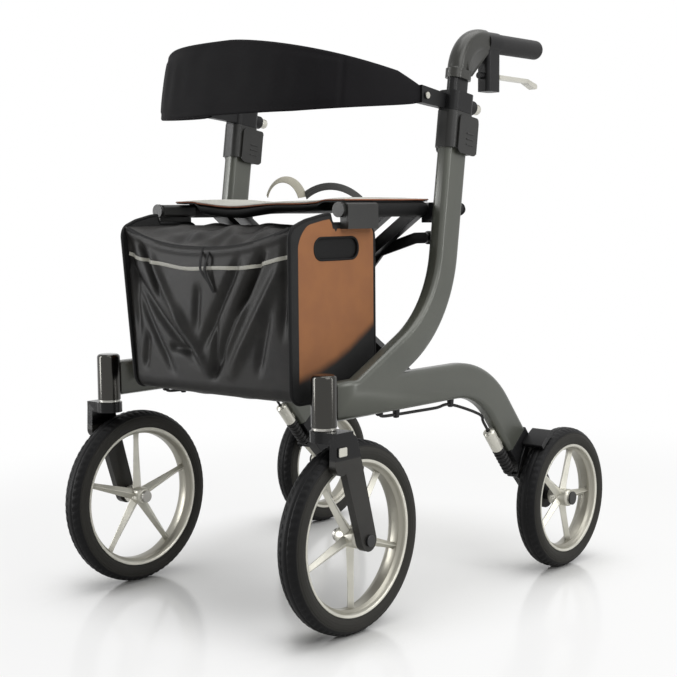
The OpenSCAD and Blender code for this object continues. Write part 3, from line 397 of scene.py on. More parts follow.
hard_finish("frame_grey", (81, 83, 75), (73, 75, 68), 0.34, 0.15, 1600, 0.00002, 9, 0.15,
            zone=head_zone, zone_colour=(60, 59, 56), zone_rough=0.15, zone_metallic=0.95)
hard_finish("black_plastic", (27, 27, 28), (18, 18, 19), 0.42, 0, 1500, 0.00006, shine=0.2)
hard_finish("clamp_grey", (42, 42, 40), (33, 33, 32), 0.4, 0, 1500, 0.00006, shine=0.32)
hard_finish("black_metal", (28, 28, 28), (19, 19, 20), 0.34, 0.2, 1400, 0.00003, 18, 0.05, 0.25)
hard_finish("handle_grey", (56, 56, 52), (46, 46, 43), 0.34, 0.25, 1500, 0.00003, 12, 0.1, 0.35)
hard_finish("black_rubber", (36, 35, 35), (25, 25, 25), 0.58, 0, 1100, 0.0001, shine=0.25)
hard_finish("fork_black", (54, 53, 50), (43, 42, 40), 0.36, 0.2, 1500, 0.00003, 12, 0.05, 0.2,
            zone=crown_zone, zone_colour=(12, 12, 13))
hard_finish("silver_metal", (208, 206, 196), (190, 188, 178), 0.32, 0.6, 900, 0.00003)
hard_finish("steel", (186, 184, 178), (160, 159, 154), 0.28, 0.85, 900, 0.00003)
hard_finish("front_axle", (186, 184, 178), (160, 159, 154), 0.28, 0.5, 900, 0.00003,
            zone=outer_zone, zone_colour=(20, 20, 21), zone_rough=0.4)
print(len(FINISH), "hard finishes")

# %% [markdown]
# ## Rubber and cloth
# A tyre is blackest on its tread and greyer on its dusty sidewall, so its mesh carries a number across the
# profile. Nylon is a plain weave: two crossed sine waves a millimetre long. Webbing has ribs along it. The
# bag's side panels fade from brown to black at the edges, by two distances that their mesh carries.

# %% Tyre, nylon, panel, seat cloth and webbing


def weave(p, pitch):
    """Crossed sine waves of a pitch in metres along all three axes, so it shows on faces of any direction."""
    x, y, z = p.axes()
    k = 2 * math.pi / pitch
    return ((x + y) * k).sine() * ((z + y * 0.37) * k).sine() * 0.5 + 0.5


def tyre_finish(name):
    """Dusty grey on the wall, black on the tread."""
    p = Paint(name)
    wall = p.attribute("wall")
    dust = p.noise(60, 5.0)
    grain = p.noise(900, 2.0)
    colour = p.mix((wall * (0.7 + 0.6 * dust)).step(0.1, 1.0), tone(17, 17, 18), tone(52, 51, 48))
    rough = 0.5 + 0.15 * wall + (dust - 0.5) * 0.2
    FINISH[name] = p.finish(colour, rough, grain, 0.00008, Specular_IOR_Level=0.14)


def rim_finish(name):
    """Bright blasted metal, with painted shade darkening it inside the barrel."""
    p = Paint(name)
    barrel = p.attribute("barrel")
    broad = p.noise(24, 4.0)
    blast = p.noise(1200, 2.0)
    bright = p.mix(broad.step(0.3, 0.7), tone(200, 198, 187), tone(214, 212, 201))
    # The darker colour in the barrel is painted shade, not a colour of the metal.
    colour = p.mix(barrel * 0.9, bright, tone(146, 143, 132))
    FINISH[name] = p.finish(colour, 0.3 + 0.1 * broad, blast, 0.00003, Metallic=0.5)


def cloth_finish(name, light, dark, rough, pitch, depth, shine=0.25):
    """Two colours mixed by broad noise and the weave, which is also the relief."""
    p = Paint(name)
    threads = weave(p, pitch)
    broad = p.noise(22, 5.0)
    colour = p.mix((broad * 0.75 + threads * 0.25).step(0.25, 0.75), tone(*dark), tone(*light))
    FINISH[name] = p.finish(colour, rough + (broad - 0.5) * 0.2, threads, depth, Specular_IOR_Level=shine)


def panel_finish(name):
    """Brown cloth, black outside its border and below the line where it fades."""
    p = Paint(name)
    inside, above = p.attribute("inside"), p.attribute("above")
    threads = weave(p, 0.0011)
    broad = p.noise(30, 5.0)
    brown = p.mix(broad.step(0.3, 0.7), tone(150, 100, 65), tone(158, 106, 68))
    outside = 1 - (inside + (threads - 0.5) * 0.6).step(-0.6, 0.6)
    faded = 1 - (above + broad * 4).step(-8, 12)
    colour = p.mix(outside.most(faded), brown, tone(24, 24, 24))
    rough = 0.62 + (broad - 0.5) * 0.2
    FINISH[name] = p.finish(colour, rough, threads, 0.00012, Specular_IOR_Level=0.25)


def ribbed_finish(name, light, dark, rough, pitch):
    """Webbing: sine ribs of a pitch in metres along Y, which are also the relief."""
    p = Paint(name)
    ribs = (p.axes()[1] * (2 * math.pi / pitch)).sine() * 0.5 + 0.5
    broad = p.noise(40, 4.0)
    colour = p.mix((ribs * 0.5 + broad * 0.5).step(0.25, 0.75), tone(*dark), tone(*light))
    FINISH[name] = p.finish(colour, rough + (broad - 0.5) * 0.15, ribs, 0.0002, Specular_IOR_Level=0.25)


tyre_finish("tyre_black")
rim_finish("rim_silver")
cloth_finish("black_fabric", (50, 49, 47), (27, 26, 26), 0.44, 0.0012, 0.00008, 0.16)
cloth_finish("strap_cloth", (27, 26, 28), (20, 19, 21), 0.7, 0.0016, 0.00012, 0.08)
# This darkest cloth also dresses the sheet behind each hand hole, where its dark tone is partly painted
# shade.
cloth_finish("binding", (24, 24, 24), (15, 15, 16), 0.6, 0.0014, 0.0001, 0.15)
cloth_finish("seat_fabric", (214, 213, 205), (190, 189, 181), 0.75, 0.0018, 0.00025)
cloth_finish("orange_piping", (172, 98, 58), (140, 72, 40), 0.6, 0.001, 0.0001)
cloth_finish("stripe", (205, 203, 192), (180, 178, 168), 0.4, 0.0015, 0.00008)
panel_finish("panel_brown")
ribbed_finish("webbing", (196, 192, 176), (168, 164, 150), 0.7, 0.002)
ribbed_finish("dark_webbing", (64, 64, 62), (40, 40, 39), 0.7, 0.002)
print(len(FINISH), "finishes")

# %% [markdown]
# ## Brake cables
# A hand brake pulls a steel wire inside a black sleeve. It runs inside the frame tubes and shows only under
# the beam, from a grommet, past two clips, to the barrel on the rear leg. A bevelled curve would do; a tube
# carried along the CAD model's own route keeps the points that the cord's length is measured on.

# %% Cable route and clips
BEAM_UNDER = 361.9 - 29.5
BEAM_END_Y = 8.62
REAR_WHEEL = (287.25, 283.5, 126.0)
LEG = math.radians(50)
UP_LEG = np.array([-math.cos(LEG), math.sin(LEG)])
ACROSS_LEG = np.array([math.sin(LEG), math.cos(LEG)])
BARREL_OUT, BARREL_UP = 42, 209
CABLE_R = 2.5

barrel_top = REAR_WHEEL[1:] - BARREL_OUT * ACROSS_LEG + BARREL_UP * UP_LEG
run = BEAM_END_Y - HEAD_Y
route = [(HEAD_Y + share * run, BEAM_UNDER - drop) for share, drop in
         ((0.4, 2), (0.425, 6.5), (0.53, 8), (0.68, 9), (0.86, 10))]
route += [(BEAM_END_Y - 7, BEAM_UNDER - 9), barrel_top + 55 * UP_LEG + (3, -4)]
route += [barrel_top + 30 * UP_LEG, barrel_top]
cable_line = smooth(route, 4)
cable_path = np.column_stack([np.full(len(cable_line), SIDE_X), cable_line])


def clip_shell(y):
    """A saddle clip: a round-cornered block's outline carried down from the beam, narrower at its foot."""
    z = np.array([0, -1.5, -8, -12, -13])
    scale = np.array([1.1, 1.1, 1.0, 0.9, 0.7])
    ring = round_rect(8, 10, 2.5)
    points = np.empty((5, len(ring), 3))
    points[..., :2] = ring[None] * scale[:, None, None] + (SIDE_X, y)
    points[..., 2] = BEAM_UNDER + z[:, None]
    return grid(points)


def grommet_shell():
    """A rubber grommet: a stepped profile turned about the hole's axis."""
    profile = np.array([(0.1, -5.2), (3.6, -5), (5.4, -4), (6, -2.5), (6, 0)])
    a = np.linspace(0, 2 * np.pi, 32, endpoint=False)
    points = np.empty((len(profile), 32, 3))
    points[..., 0] = SIDE_X + profile[:, :1] * np.cos(a)
    points[..., 1] = route[0][0] + profile[:, :1] * np.sin(a)
    points[..., 2] = BEAM_UNDER + profile[:, 1:]
    return grid(points)


for side, sign in SIDES:
    body = side + "_frame"
    tube = along(cable_path, circle(CABLE_R, 14), (1, 0, 0))
    cable = make(f"brake_cable_{side}_sleeve", tube, flip=sign < 0)
    dress(cable, body, "black_rubber", f"brake_cable_{side}")
    saddles = [clip_shell(route[k][0]) for k in (2, 5)]
    clips = make(f"cable_clips_{side}", *saddles, flip=sign < 0)
    dress(clips, body, "black_plastic")
    grommet = make(f"cable_grommet_{side}", grommet_shell(), flip=sign < 0)
    dress(grommet, body, "black_rubber")

# %% [markdown]
# ## Hard parts with rounded edges
# No moulded or welded part has a knife edge. Each CAD solid's mesh is copied, its loose triangles are
# merged, flat faces are joined again, and a small bevel catches the light along its edges. The radii follow
# the process: one to three millimetres on mouldings, about one on sawn tubes and bars, less on turned metal.
# Frames, handles, knobs and boots get none, because they are round already.

# %% Dress the CAD solids


def soften(name, width):
    """A merged copy of a CAD solid's mesh with bevelled edges of a width in millimetres."""
    shape = bmesh.new()
    shape.from_mesh(cad[name].data)
    bmesh.ops.remove_doubles(shape, verts=shape.verts, dist=1e-5)
    bmesh.ops.dissolve_limit(shape, angle_limit=math.radians(0.6), verts=shape.verts, edges=shape.edges)
    mesh = bpy.data.meshes.new(name + "_dressed")
    shape.to_mesh(mesh)
    shape.free()
    piece = shade(bpy.data.objects.new(name + "_dressed", mesh), 35)
    if width:
        edge = piece.modifiers.new("rounded_edges", "BEVEL")
        edge.width = width * MM
        edge.segments = 2
        edge.limit_method = "ANGLE"
        edge.angle_limit = math.radians(40)
        edge.use_clamp_overlap = True
        weight = piece.modifiers.new("even_faces", "WEIGHTED_NORMAL")
        weight.keep_sharp = True
    return piece


HARD = {
    "side_frame": ("frame_grey", 0),
    "axle_block": ("black_plastic", 2.5),
    "height_collar": ("clamp_grey", 1.2),
    "collar_lever": ("clamp_grey", 1.0),
    "handle_stem": ("black_metal", 0),
    "handlebar": ("handle_grey", 0),
    "grip": ("black_rubber", 0),
    "brake_housing": ("black_plastic", 3.0),
    "brake_lever": ("silver_metal", 1.2),
    "backrest_holder": ("black_plastic", 1.5),
    "backrest_knob": ("silver_metal", 0),
    "fork": ("fork_black", 2.5),
    "head_bearings": ("steel", 0.4),
    "front_axle": ("steel", 0.8),
    "rear_axle": ("clamp_grey", 0.8),
    "brake_arm": ("black_metal", 0.8),
    "brake_barrel": ("silver_metal", 0.6),
    "brake_boot": ("black_rubber", 0),
    "seat_tube": ("clamp_grey", 1.5),
    "stabiliser_link": ("black_metal", 0.8),
    "x_brace": ("black_metal", 1.2),
    "seat_cradle": ("black_plastic", 1.2),
}
for kind, (slot, width) in HARD.items():
    for name in (f"{kind}_{side}" for side, _ in SIDES):
        own = kind if kind in FINISH else None
        dress(soften(name, width), carrier[name], slot, name, finish=own)
dress(soften("cross_bolt", 0.8), carrier["cross_bolt"], "steel", "cross_bolt")

reflector_edge = round_rect(18, 13, 2) + (-321.5, 294)
bolt_edge = circle(5.2, 32) + (-61.8, 826.6)
for side, sign in SIDES:
    reflector = make(f"fork_reflector_{side}", slab(reflector_edge, 284.5, 286), flip=sign < 0)
    dress(reflector, f"caster_{side}", "silver_metal")
    bolt = make(f"strap_bolt_{side}", slab(bolt_edge, 246, 248.2), flip=sign < 0)
    dress(bolt, f"{side}_frame", "silver_metal")
print(2 * len(HARD) + 1, "hard parts dressed")

# %% [markdown]
# ## Tyres
# An air-filled tyre for paths: a round section with a blocked tread, a shoulder and, on the wall, two raised
# rings between two grooves. It could be a turned profile with the tread as a texture, but an outline is
# judged against the sky, so the blocks are cut into the surface: the radius is lowered where a skewed wave
# along the tread crosses a threshold.

# %% Tyre surface
TYRE_W = 43.0
SHOULDER = 18.0
TYRE_H = 30.0
TREAD_DEPTH = 1.0
WALL_RINGS = ((64, 2.6, -0.9), (84, 2.2, 0.5), (96, 2.2, 0.5), (118, 3, -0.7))  # degrees, width, height
FRONT_WHEEL = (SIDE_X, -259.5, 150.0)
WHEELS = (("front", FRONT_WHEEL, 72), ("rear", REAR_WHEEL, 60))  # end, axle's middle, tread blocks


def soft_step(x, low, high):
    """0 below low, 1 above high, a smooth S between."""
    t = np.clip((x - low) / (high - low), 0, 1)
    return t * t * (3 - 2 * t)


def tyre_shell(radius, blocks):
    """Radius and x of a round-shouldered section, turned about X and lowered in the grooves of the tread."""
    end = math.degrees(math.acos((SHOULDER - TYRE_H) / SHOULDER))
    phi = np.radians(np.linspace(end, 0, 44))
    flat = TYRE_W / 2 - SHOULDER
    rise = SHOULDER * np.cos(phi)
    out = flat + SHOULDER * np.sin(phi)
    wall = np.degrees(phi)
    rings = sum(high * np.exp(-((wall - at) / wide) ** 2) for at, wide, high in WALL_RINGS)
    rise, out = rise + rings * np.cos(phi), out + rings * np.sin(phi)
    r = np.concatenate([rise, rise[::-1]]) + radius - SHOULDER
    x = np.concatenate([-out, out[::-1]])
    phase = np.concatenate([wall, wall[::-1]])
    turns = np.linspace(0, 2 * np.pi, blocks * 6, endpoint=False)[:, None]
    skew = blocks * turns / (2 * np.pi) + 0.035 * np.abs(x)[None]
    gap = 1 - soft_step(np.abs((skew % 1) - 0.5), 0.12, 0.3)
    tread = (1 - soft_step(phase, 38, 50))[None]
    middle = 1 - soft_step(np.abs(np.abs(x) - 5.5), 0.8, 1.8)[None] * np.ones_like(turns)
    depth = TREAD_DEPTH * np.maximum(gap * soft_step(np.abs(x), 6, 8)[None], middle) * tread
    rr = r[None] - depth
    points = np.stack([np.broadcast_to(x, rr.shape), rr * np.cos(turns), rr * np.sin(turns)], -1)
    return grid(points, wrap_rows=True)


def below_tread(piece, centre):
    """How far each point of a wheel's piece lies in from the wheel's edge."""
    at = places(piece)
    return centre[2] - np.hypot(at[:, 1] - centre[1], at[:, 2] - centre[2])


for end, centre, blocks in WHEELS:
    points, faces = tyre_shell(centre[2], blocks)
    for side, sign in SIDES:
        tyre = make(f"{end}_tyre_{side}_rubber", (points + centre, faces), sharp=50, flip=sign < 0)
        note(tyre, "wall", soft_step(below_tread(tyre, centre), 6, 11))
        dress(tyre, f"{end}_wheel_{side}", "tyre_black", f"{end}_tyre_{side}")
    print(end, "tyres", len(tyre.data.polygons), "faces each")

# %% [markdown]
# ## Rims
# A cast rim has a deep barrel, a bright lip at each edge, a hub and five spokes with a ridge on both faces,
# wider where they join. Barrel and hub are profiles turned about the axle. A spoke is a diamond section
# carried out along a radius, its width a falling function of the distance.

# %% Rim surface
RIM_HALF = 16.92
SPOKES = 5
HALF_BARREL = ((0.4, -0.5), (1.2, 0.6), (0.6, 1.6), (-1.2, 1.7), (-3.4, 0.7), (-4.2, -1), (-4.6, -4),
               (-6.5, -6.5), (-9.4, -9), (-10, -11))  # out from the tyre's seat, along from the rim's edge
HALF_HUB = ((15.5, 0), (15.5, 15), (14.8, 18), (12.6, 20.6), (10.5, 21), (10, 22), (6.05, 22))  # radius, x
DIAMOND = np.array([(1, 0.06), (0.08, 1), (-0.08, 1), (-1, 0.06),
                    (-1, -0.06), (-0.08, -1), (0.08, -1), (1, -0.06)])


def turned_shell(profile, sides=120):
    """A closed profile of (radius, x) turned about X."""
    p = np.asarray(profile, float)
    a = np.linspace(0, 2 * np.pi, sides, endpoint=False)[:, None]
    r = p[:, 0]
    points = np.stack([np.broadcast_to(p[:, 1], (sides, len(p))), r * np.cos(a), r * np.sin(a)], -1)
    return grid(points, wrap_rows=True)


def spoke_shell(inner, outer, angle):
    """A ridged diamond whose width falls evenly from hub to barrel and flares a little where it joins."""
    s = np.linspace(0, 1, 15)[:, None]
    half_w = 9.5 - 5.2 * s + 2.0 * np.exp(-(1 - s) / 0.05)
    half_t = 6.3 + 2.2 * np.exp(-s / 0.12) + 1.4 * np.exp(-(1 - s) / 0.05)
    r = inner + (outer - inner) * s
    w, x = DIAMOND[None, :, 0] * half_w, DIAMOND[None, :, 1] * half_t
    y = -r * math.sin(angle) + w * math.cos(angle)
    z = r * math.cos(angle) + w * math.sin(angle)
    return grid(np.stack([x, y, z], -1))


def rim_shells(radius, turn):
    """Barrel with two lips, bored hub with rounded ends, and the ring of spokes."""
    seat = radius - TYRE_H
    half = [(seat + out, RIM_HALF + x) for out, x in HALF_BARREL]
    barrel = half + [(r, -x) for r, x in half[::-1]]
    hub = [(r, -x) for r, x in HALF_HUB[:0:-1]] + list(HALF_HUB)
    angles = math.radians(turn) + 2 * np.pi * np.arange(SPOKES) / SPOKES
    return [turned_shell(barrel), turned_shell(hub, 64)] + [spoke_shell(10, seat - 7, a) for a in angles]


for end, centre, _ in WHEELS:
    for side, sign in SIDES:
        turn = -20 if end == "rear" else (180 if sign > 0 else 0)
        shells = [(points + centre, faces) for points, faces in rim_shells(centre[2], turn)]
        rim = make(f"{end}_rim_{side}_cast", *shells, sharp=32, flip=sign < 0)
        depth = below_tread(rim, centre)
        # This band marks the barrel, where the rim's colour is darkened as painted shade.
        note(rim, "barrel", soft_step(depth, 33, 35) * (1 - soft_step(depth, 43, 46)))
        dress(rim, f"{end}_wheel_{side}", "rim_silver", f"{end}_rim_{side}")
    print(end, "rims", len(rim.data.polygons), "faces each")

# %% [markdown]
# ## The bag
# A black nylon bag hangs between two stiff panels, its lid sagging to a front lip. A cloth simulation would
# give accidental folds; the photograph's folds run from the upper corners to the lower middle, so the shell
# is lofted from outlines across its width and each fold is a long dent that is laid along a line.

# %% Bag shell
BAG_W = 407.0
BAG_TOP = 625.0
BAG_BOTTOM = 357.0
BAG_BACK = -144.71
BAG_FRONT = -340.71
FOOT_R = 22.0
BAG_FOOT = BAG_BOTTOM + FOOT_R
LIP_DROP = 3.0
LIP_SAG = 33.0
PANEL_T = 4.5
TURN_IN, LEAN_IN = math.radians(7.3), math.radians(5.5)
BAG_HALF = BAG_W / 2 - PANEL_T - 0.3
FOLD_H = 200.0
FOLD_GAIN = 2.3
FOLDS = (  # across and up the front, from one end to the other, then width and depth before the gain
    (-0.82, 0.97, -0.56, 0.60, 7, -4.5), (-1.0, 0.76, -0.13, 0.15, 9, -4.0),
    (-0.9, 0.62, -0.45, 0.05, 8, -3.0), (-0.66, 0.9, -0.2, 0.3, 9, 3.2),
    (0.7, 0.92, 0.40, 0.52, 7, -4.5), (0.42, 0.88, -0.02, 0.28, 8, -4.5),
    (0.64, 0.86, 0.06, 0.02, 8, -4.5), (0.9, 0.8, 0.3, 0.08, 10, 3.4),
    (0.16, 0.44, 0.06, 0.0, 6, -3.0), (0.93, 0.92, 0.9, 0.35, 7, -3.0),
    (-0.05, 0.72, -0.1, 0.4, 8, -2.4), (-0.78, 0.3, -0.86, 0.06, 8, -3.0),
    (-0.45, 0.24, -0.2, 0.22, 6, -3.2), (0.5, 0.6, 0.22, 0.2, 9, 3.0),
    (-0.35, 0.55, 0.0, 0.1, 10, 3.0), (-0.95, 0.95, -0.9, 0.3, 8, -2.5),
    (0.75, 0.5, 0.62, 0.1, 8, -2.2))


def tuck(y, z):
    """How far the right panel is turned and leant in at a height and depth."""
    return (BAG_BACK - y) * math.tan(TURN_IN) + (BAG_TOP - z) * math.tan(LEAN_IN)


def bag_x(u, y, z):
    """x of a place across the bag, with its right side tucked in."""
    return u * BAG_HALF + (1 - u) / 2 * tuck(y, z)


def fold_depth(u, w):
    """Sum of long dents: each falls off as a bell across its line and fades at its two ends."""
    total = np.zeros(np.broadcast(u, w).shape)
    for u0, w0, u1, w1, wide, deep in FOLDS:
        way_x, way_z = (u1 - u0) * BAG_HALF, (w1 - w0) * FOLD_H
        length = math.hypot(way_x, way_z)
        px, pz = (u - u0) * BAG_HALF, (w - w0) * FOLD_H
        s = (px * way_x + pz * way_z) / length ** 2
        off = (px * way_z - pz * way_x) / length
        ends = soft_step(s, -0.15, 0.2) * (1 - soft_step(s, 0.75, 1.15))
        total = total + FOLD_GAIN * deep * np.exp(-(off / wide) ** 2) * ends
    return total


def bag_levels(u):
    """Middle share, height of the lip, height of the lid's back edge and y of the front, across the bag."""
    m = 1 - np.abs(u) ** 2.4
    top = BAG_TOP - LIP_DROP
    return m, top - LIP_SAG * m, top - m, BAG_FRONT + 7 * (1 - m)


def bag_face(u, t):
    """y and z of the folded front at a share of the height from its foot to the lip."""
    m, lip, _, front = bag_levels(u)
    puff = 4.0 * np.sin(np.pi * t) * m + 2.2 * soft_step(t, 0.93, 0.97) * (1 - soft_step(t, 0.98, 1.0))
    dents = fold_depth(u, t) * soft_step(t, 0, 0.08) * (1 - soft_step(t, 0.9, 0.98))
    return front + 3 * (1 - m) * t - np.minimum(puff, 4) - dents, BAG_FOOT + t * (lip - BAG_FOOT)


def bag_lid(u, t):
    """y and z of the lid from back edge to lip: hollowed behind the lip and crumpled by crossing waves."""
    m, lip, back_top, front = bag_levels(u)
    waves = ((9, 5, 0, 2.6), (17, -9, 1, 2.2), (27, 13, 2, 1.6), (-13, 17, 4, 1.8))
    crumple = sum(h * np.sin(a * u + b * t + c) for a, b, c, h in waves) * np.sin(np.pi * t) ** 0.7
    hollow = 11 * np.exp(-((t - 0.8) / 0.1) ** 2)
    z = back_top - (back_top - lip) * t ** 1.6 + (6 * np.sin(np.pi * t) - hollow) * m + crumple * m ** 0.5
    return BAG_BACK - 2 - t * (BAG_BACK - front - 2), z


def bag_shell():
    """Rows across the bag; a column goes up its back, along the lid, down its folded front and back below."""
    u = np.linspace(-1, 1, 141)[:, None]
    m, _, back_top, front = bag_levels(u)
    t = np.linspace(0.02, 0.96, 14)[None]
    back = (BAG_BACK + 0 * u * t - 2.5 * np.sin(np.pi * t) * m, BAG_FOOT + t * (back_top - BAG_FOOT))
    lid = bag_lid(u, np.linspace(0, 1, 56)[None])
    face = bag_face(u, np.linspace(0.985, 0, 72)[None])
    a = np.radians(np.linspace(170, 100, 8))[None]
    toe = (front + FOOT_R * (1 + np.cos(a)), BAG_FOOT - FOOT_R * np.sin(a))
    t = np.linspace(0.12, 0.88, 12)[None]
    sag = 1.5 * np.sin(11 * u + 6 * t) * m - 2 * m * np.sin(np.pi * t)
    under = (front + t * (BAG_BACK - front), BAG_BOTTOM + 0.5 + sag)
    a = np.radians(np.linspace(80, 10, 8))[None]
    heel = (BAG_BACK - FOOT_R * (1 - np.cos(a)), BAG_FOOT - FOOT_R * np.sin(a))
    parts = (back, lid, face, toe, under, heel)
    y, z = (np.concatenate([part[k] + 0 * u for part in parts], 1) for k in (0, 1))
    return grid(np.stack([bag_x(u, y, z), y, z], -1))


TUBE_X, TUBE_Z = 0.205, 0.647


def fold_flat(piece):
    """Gives the piece a mesh of its own."""
    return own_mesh(piece)


bag = make("bag_shell", bag_shell(), sharp=60)
dress(bag, "left_frame", "black_fabric", "bag_body")
fold_flat(bag)
print("bag", len(bag.data.polygons), "faces")

# %% [markdown]
# ## The bag's trim
# A pale reflective tape is sewn across the front below the lip. Along the lip runs a covered zip, and two
# black tapes hang from it. Each is a flat profile carried along a line on the bag's front.

# %% Tapes on the bag
STRIPE_Z = 579.5
STRIPE_SAG = 22.0
TAPE_W = 5.0
TAPES = (((18, -340, 590), (20, -347, 575), (22, -350, 556), (36, -348, 538), (45, -347, 523)),
         ((34, -340, 588), (34, -347, 574), (31, -350, 556), (38, -349, 538), (47, -347, 521)))


def stripe_shell():
    """A band 6 mm high along a curve that sags in the middle and follows the folds, 1 mm proud of the bag."""
    u = np.linspace(-0.985, 0.985, 120)
    m, lip, _, _ = bag_levels(u)
    z = STRIPE_Z - STRIPE_SAG * m + 1.2 * np.sin(9 * u)
    y = bag_face(u, (z - BAG_FOOT) / (lip - BAG_FOOT))[0] - 1.0
    path = np.stack([bag_x(u, y, z), y, z], -1)
    return along(path, round_rect(6, 1.6, 0.7, 3), (0, 0, 1))


def zip_shell():
    """The covered zip: a rounded cord along the lip."""
    u = np.linspace(-0.97, 0.97, 90)
    _, lip, _, front = bag_levels(u)
    path = np.stack([bag_x(u, front + 3, lip), front + 3, lip - 0.5], -1)
    return along(path, round_rect(7, 6, 2.5, 4), (0, 0, 1))


def tape_shell(line):
    """A flat tape along a line of points."""
    return along(smooth(line, 8), round_rect(TAPE_W, 1.4, 0.6, 3), (1, 0, 0.3))


stripe = make("bag_stripe", stripe_shell())
dress(stripe, "left_frame", "webbing", finish="stripe")
fold_flat(stripe)
tapes = make("bag_tapes", zip_shell(), *[tape_shell(line) for line in TAPES])
dress(tapes, "left_frame", "black_fabric", finish="binding")
fold_flat(tapes)
print("bag trim", stripe.name, tapes.name)

# %% [markdown]
# ## Side panels
# The bag's ends are stiff boards covered with brown cloth, with an oval hand hole, a black border and a
# sewn binding. The face is a ring grid: at each angle about the hole's middle, points run from the hole's
# edge out to the board's edge, over it and back, so the hole needs no boolean. A dark sheet behind each
# hand hole is partly the bag's black end and partly painted shade of the hole's recess.

# %% Panels and binding
BAG_MID = np.array([(BAG_FRONT + BAG_BACK) / 2, (BAG_TOP + BAG_BOTTOM) / 2])
BAG_SIZE = (BAG_BACK - BAG_FRONT, BAG_TOP - BAG_BOTTOM)
HOLE_MID = np.array([BAG_BACK - 92, BAG_TOP - 37])
HOLE_SIZE = (103, 34)
CREST = ((BAG_FRONT + 18, BAG_FRONT + 36, -268, -250, -246), (0, 6, 13, 15, 0))
BORDER_FRONT, BORDER_TOP, BORDER_REAR, BORDER_R = 16, 7, 4, 30
NOTCH_Y, NOTCH_Z, NOTCH_SLOPE = -239, 613, 0.72
FADE_Z, FADE_SLOPE, FADE_BEND = 393, 0.11, 0.0015


def reach_of(outline, angles):
    """Distance of an outline from the middle at each angle, read off its own points."""
    order = np.argsort(np.arctan2(outline[:, 1], outline[:, 0]))
    bearing = np.arctan2(outline[:, 1], outline[:, 0])[order]
    return np.interp(angles, bearing, np.hypot(*outline.T)[order], period=2 * np.pi)


def dense(outline, step=0.8):
    """The same closed outline with points no more than a step apart."""
    turn = np.vstack([outline, outline[:1]])
    length = np.concatenate([[0], np.cumsum(np.linalg.norm(np.diff(turn, axis=0), axis=1))])
    at = np.arange(0, length[-1], step)
    return np.stack([np.interp(at, length, turn[:, k]) for k in (0, 1)], -1)


def crest(y):
    """How far a panel's top rises above the bag's, in front of the seat tube."""
    return np.interp(y, *CREST)


board_edge = dense(round_rect(*BAG_SIZE, 22, 12) + BAG_MID)
board_edge[:, 1] += np.where(board_edge[:, 1] > BAG_TOP - 0.5, crest(board_edge[:, 0]), 0)
hole_edge = dense(round_rect(*HOLE_SIZE, 16, 12) + HOLE_MID)


def panel_shell():
    """Rows at angles about the hole; a row runs over the outer face to the edge, round it and back inside."""
    angles = np.unique(np.arctan2(*(board_edge[::2] - HOLE_MID).T[::-1]))[:, None]
    inner, outer = (reach_of(edge - HOLE_MID, angles) for edge in (hole_edge, board_edge))
    h = PANEL_T / 2
    share = np.concatenate([[0.0], np.linspace(0, 1, 24) ** 1.2, [1.0]])
    inset = np.concatenate([[0, 1.0], np.zeros(22), [-1.0, 0]])
    height = np.concatenate([[h - 1.0], np.full(24, h), [h - 1.0]])
    swell = 0.9 * np.sin(np.pi * share) ** 0.5
    share, inset = np.concatenate([share, share[::-1]]), np.concatenate([inset, inset[::-1]])
    height = np.concatenate([height + swell, -height[::-1]])
    r = inner + (outer - inner) * share[None] + inset[None]
    y, z = HOLE_MID[0] + r * np.cos(angles), HOLE_MID[1] + r * np.sin(angles)
    return grid(np.stack([np.broadcast_to(height, r.shape) + 0 * r, y, z], -1), wrap_rows=True)


def brown_room(y, z):
    """How far a place lies inside the black border: wide in front, narrow elsewhere, notched at the hook."""
    front, rear = y - BAG_FRONT - BORDER_FRONT, BAG_BACK - y - BORDER_REAR
    top = BAG_TOP + crest(y) - z - BORDER_TOP
    ahead_of, over = np.minimum(front - BORDER_R, 0), np.minimum(top - BORDER_R, 0)
    rounded = np.where((ahead_of < 0) & (over < 0), BORDER_R - np.hypot(ahead_of, over), 99)
    notch = np.abs(y - NOTCH_Y) - (z - NOTCH_Z) * NOTCH_SLOPE
    return np.minimum.reduce([front, top, rear, rounded, notch])


def above_fade(y, z):
    """Height above the line, bent up to the rear, where brown fades into black."""
    back = np.maximum(0, y - BAG_FRONT)
    return z - FADE_Z - FADE_SLOPE * back - FADE_BEND * back ** 2


def seat_panel(points, sign):
    """Puts a panel's points at the bag's left side, or turned and leant in at its right side."""
    if sign > 0:
        return points + (BAG_W / 2 - PANEL_T / 2, 0, 0)
    pivot = np.array([0, BAG_BACK, BAG_TOP])
    way = np.array(Matrix.Rotation(TURN_IN, 3, "Z") @ Matrix.Rotation(-LEAN_IN, 3, "Y"))
    mirrored = points * (-1, 1, 1) + (PANEL_T / 2, 0, 0)
    return (mirrored - pivot) @ way.T + pivot + (-BAG_W / 2 - 0.5, 0, 0)


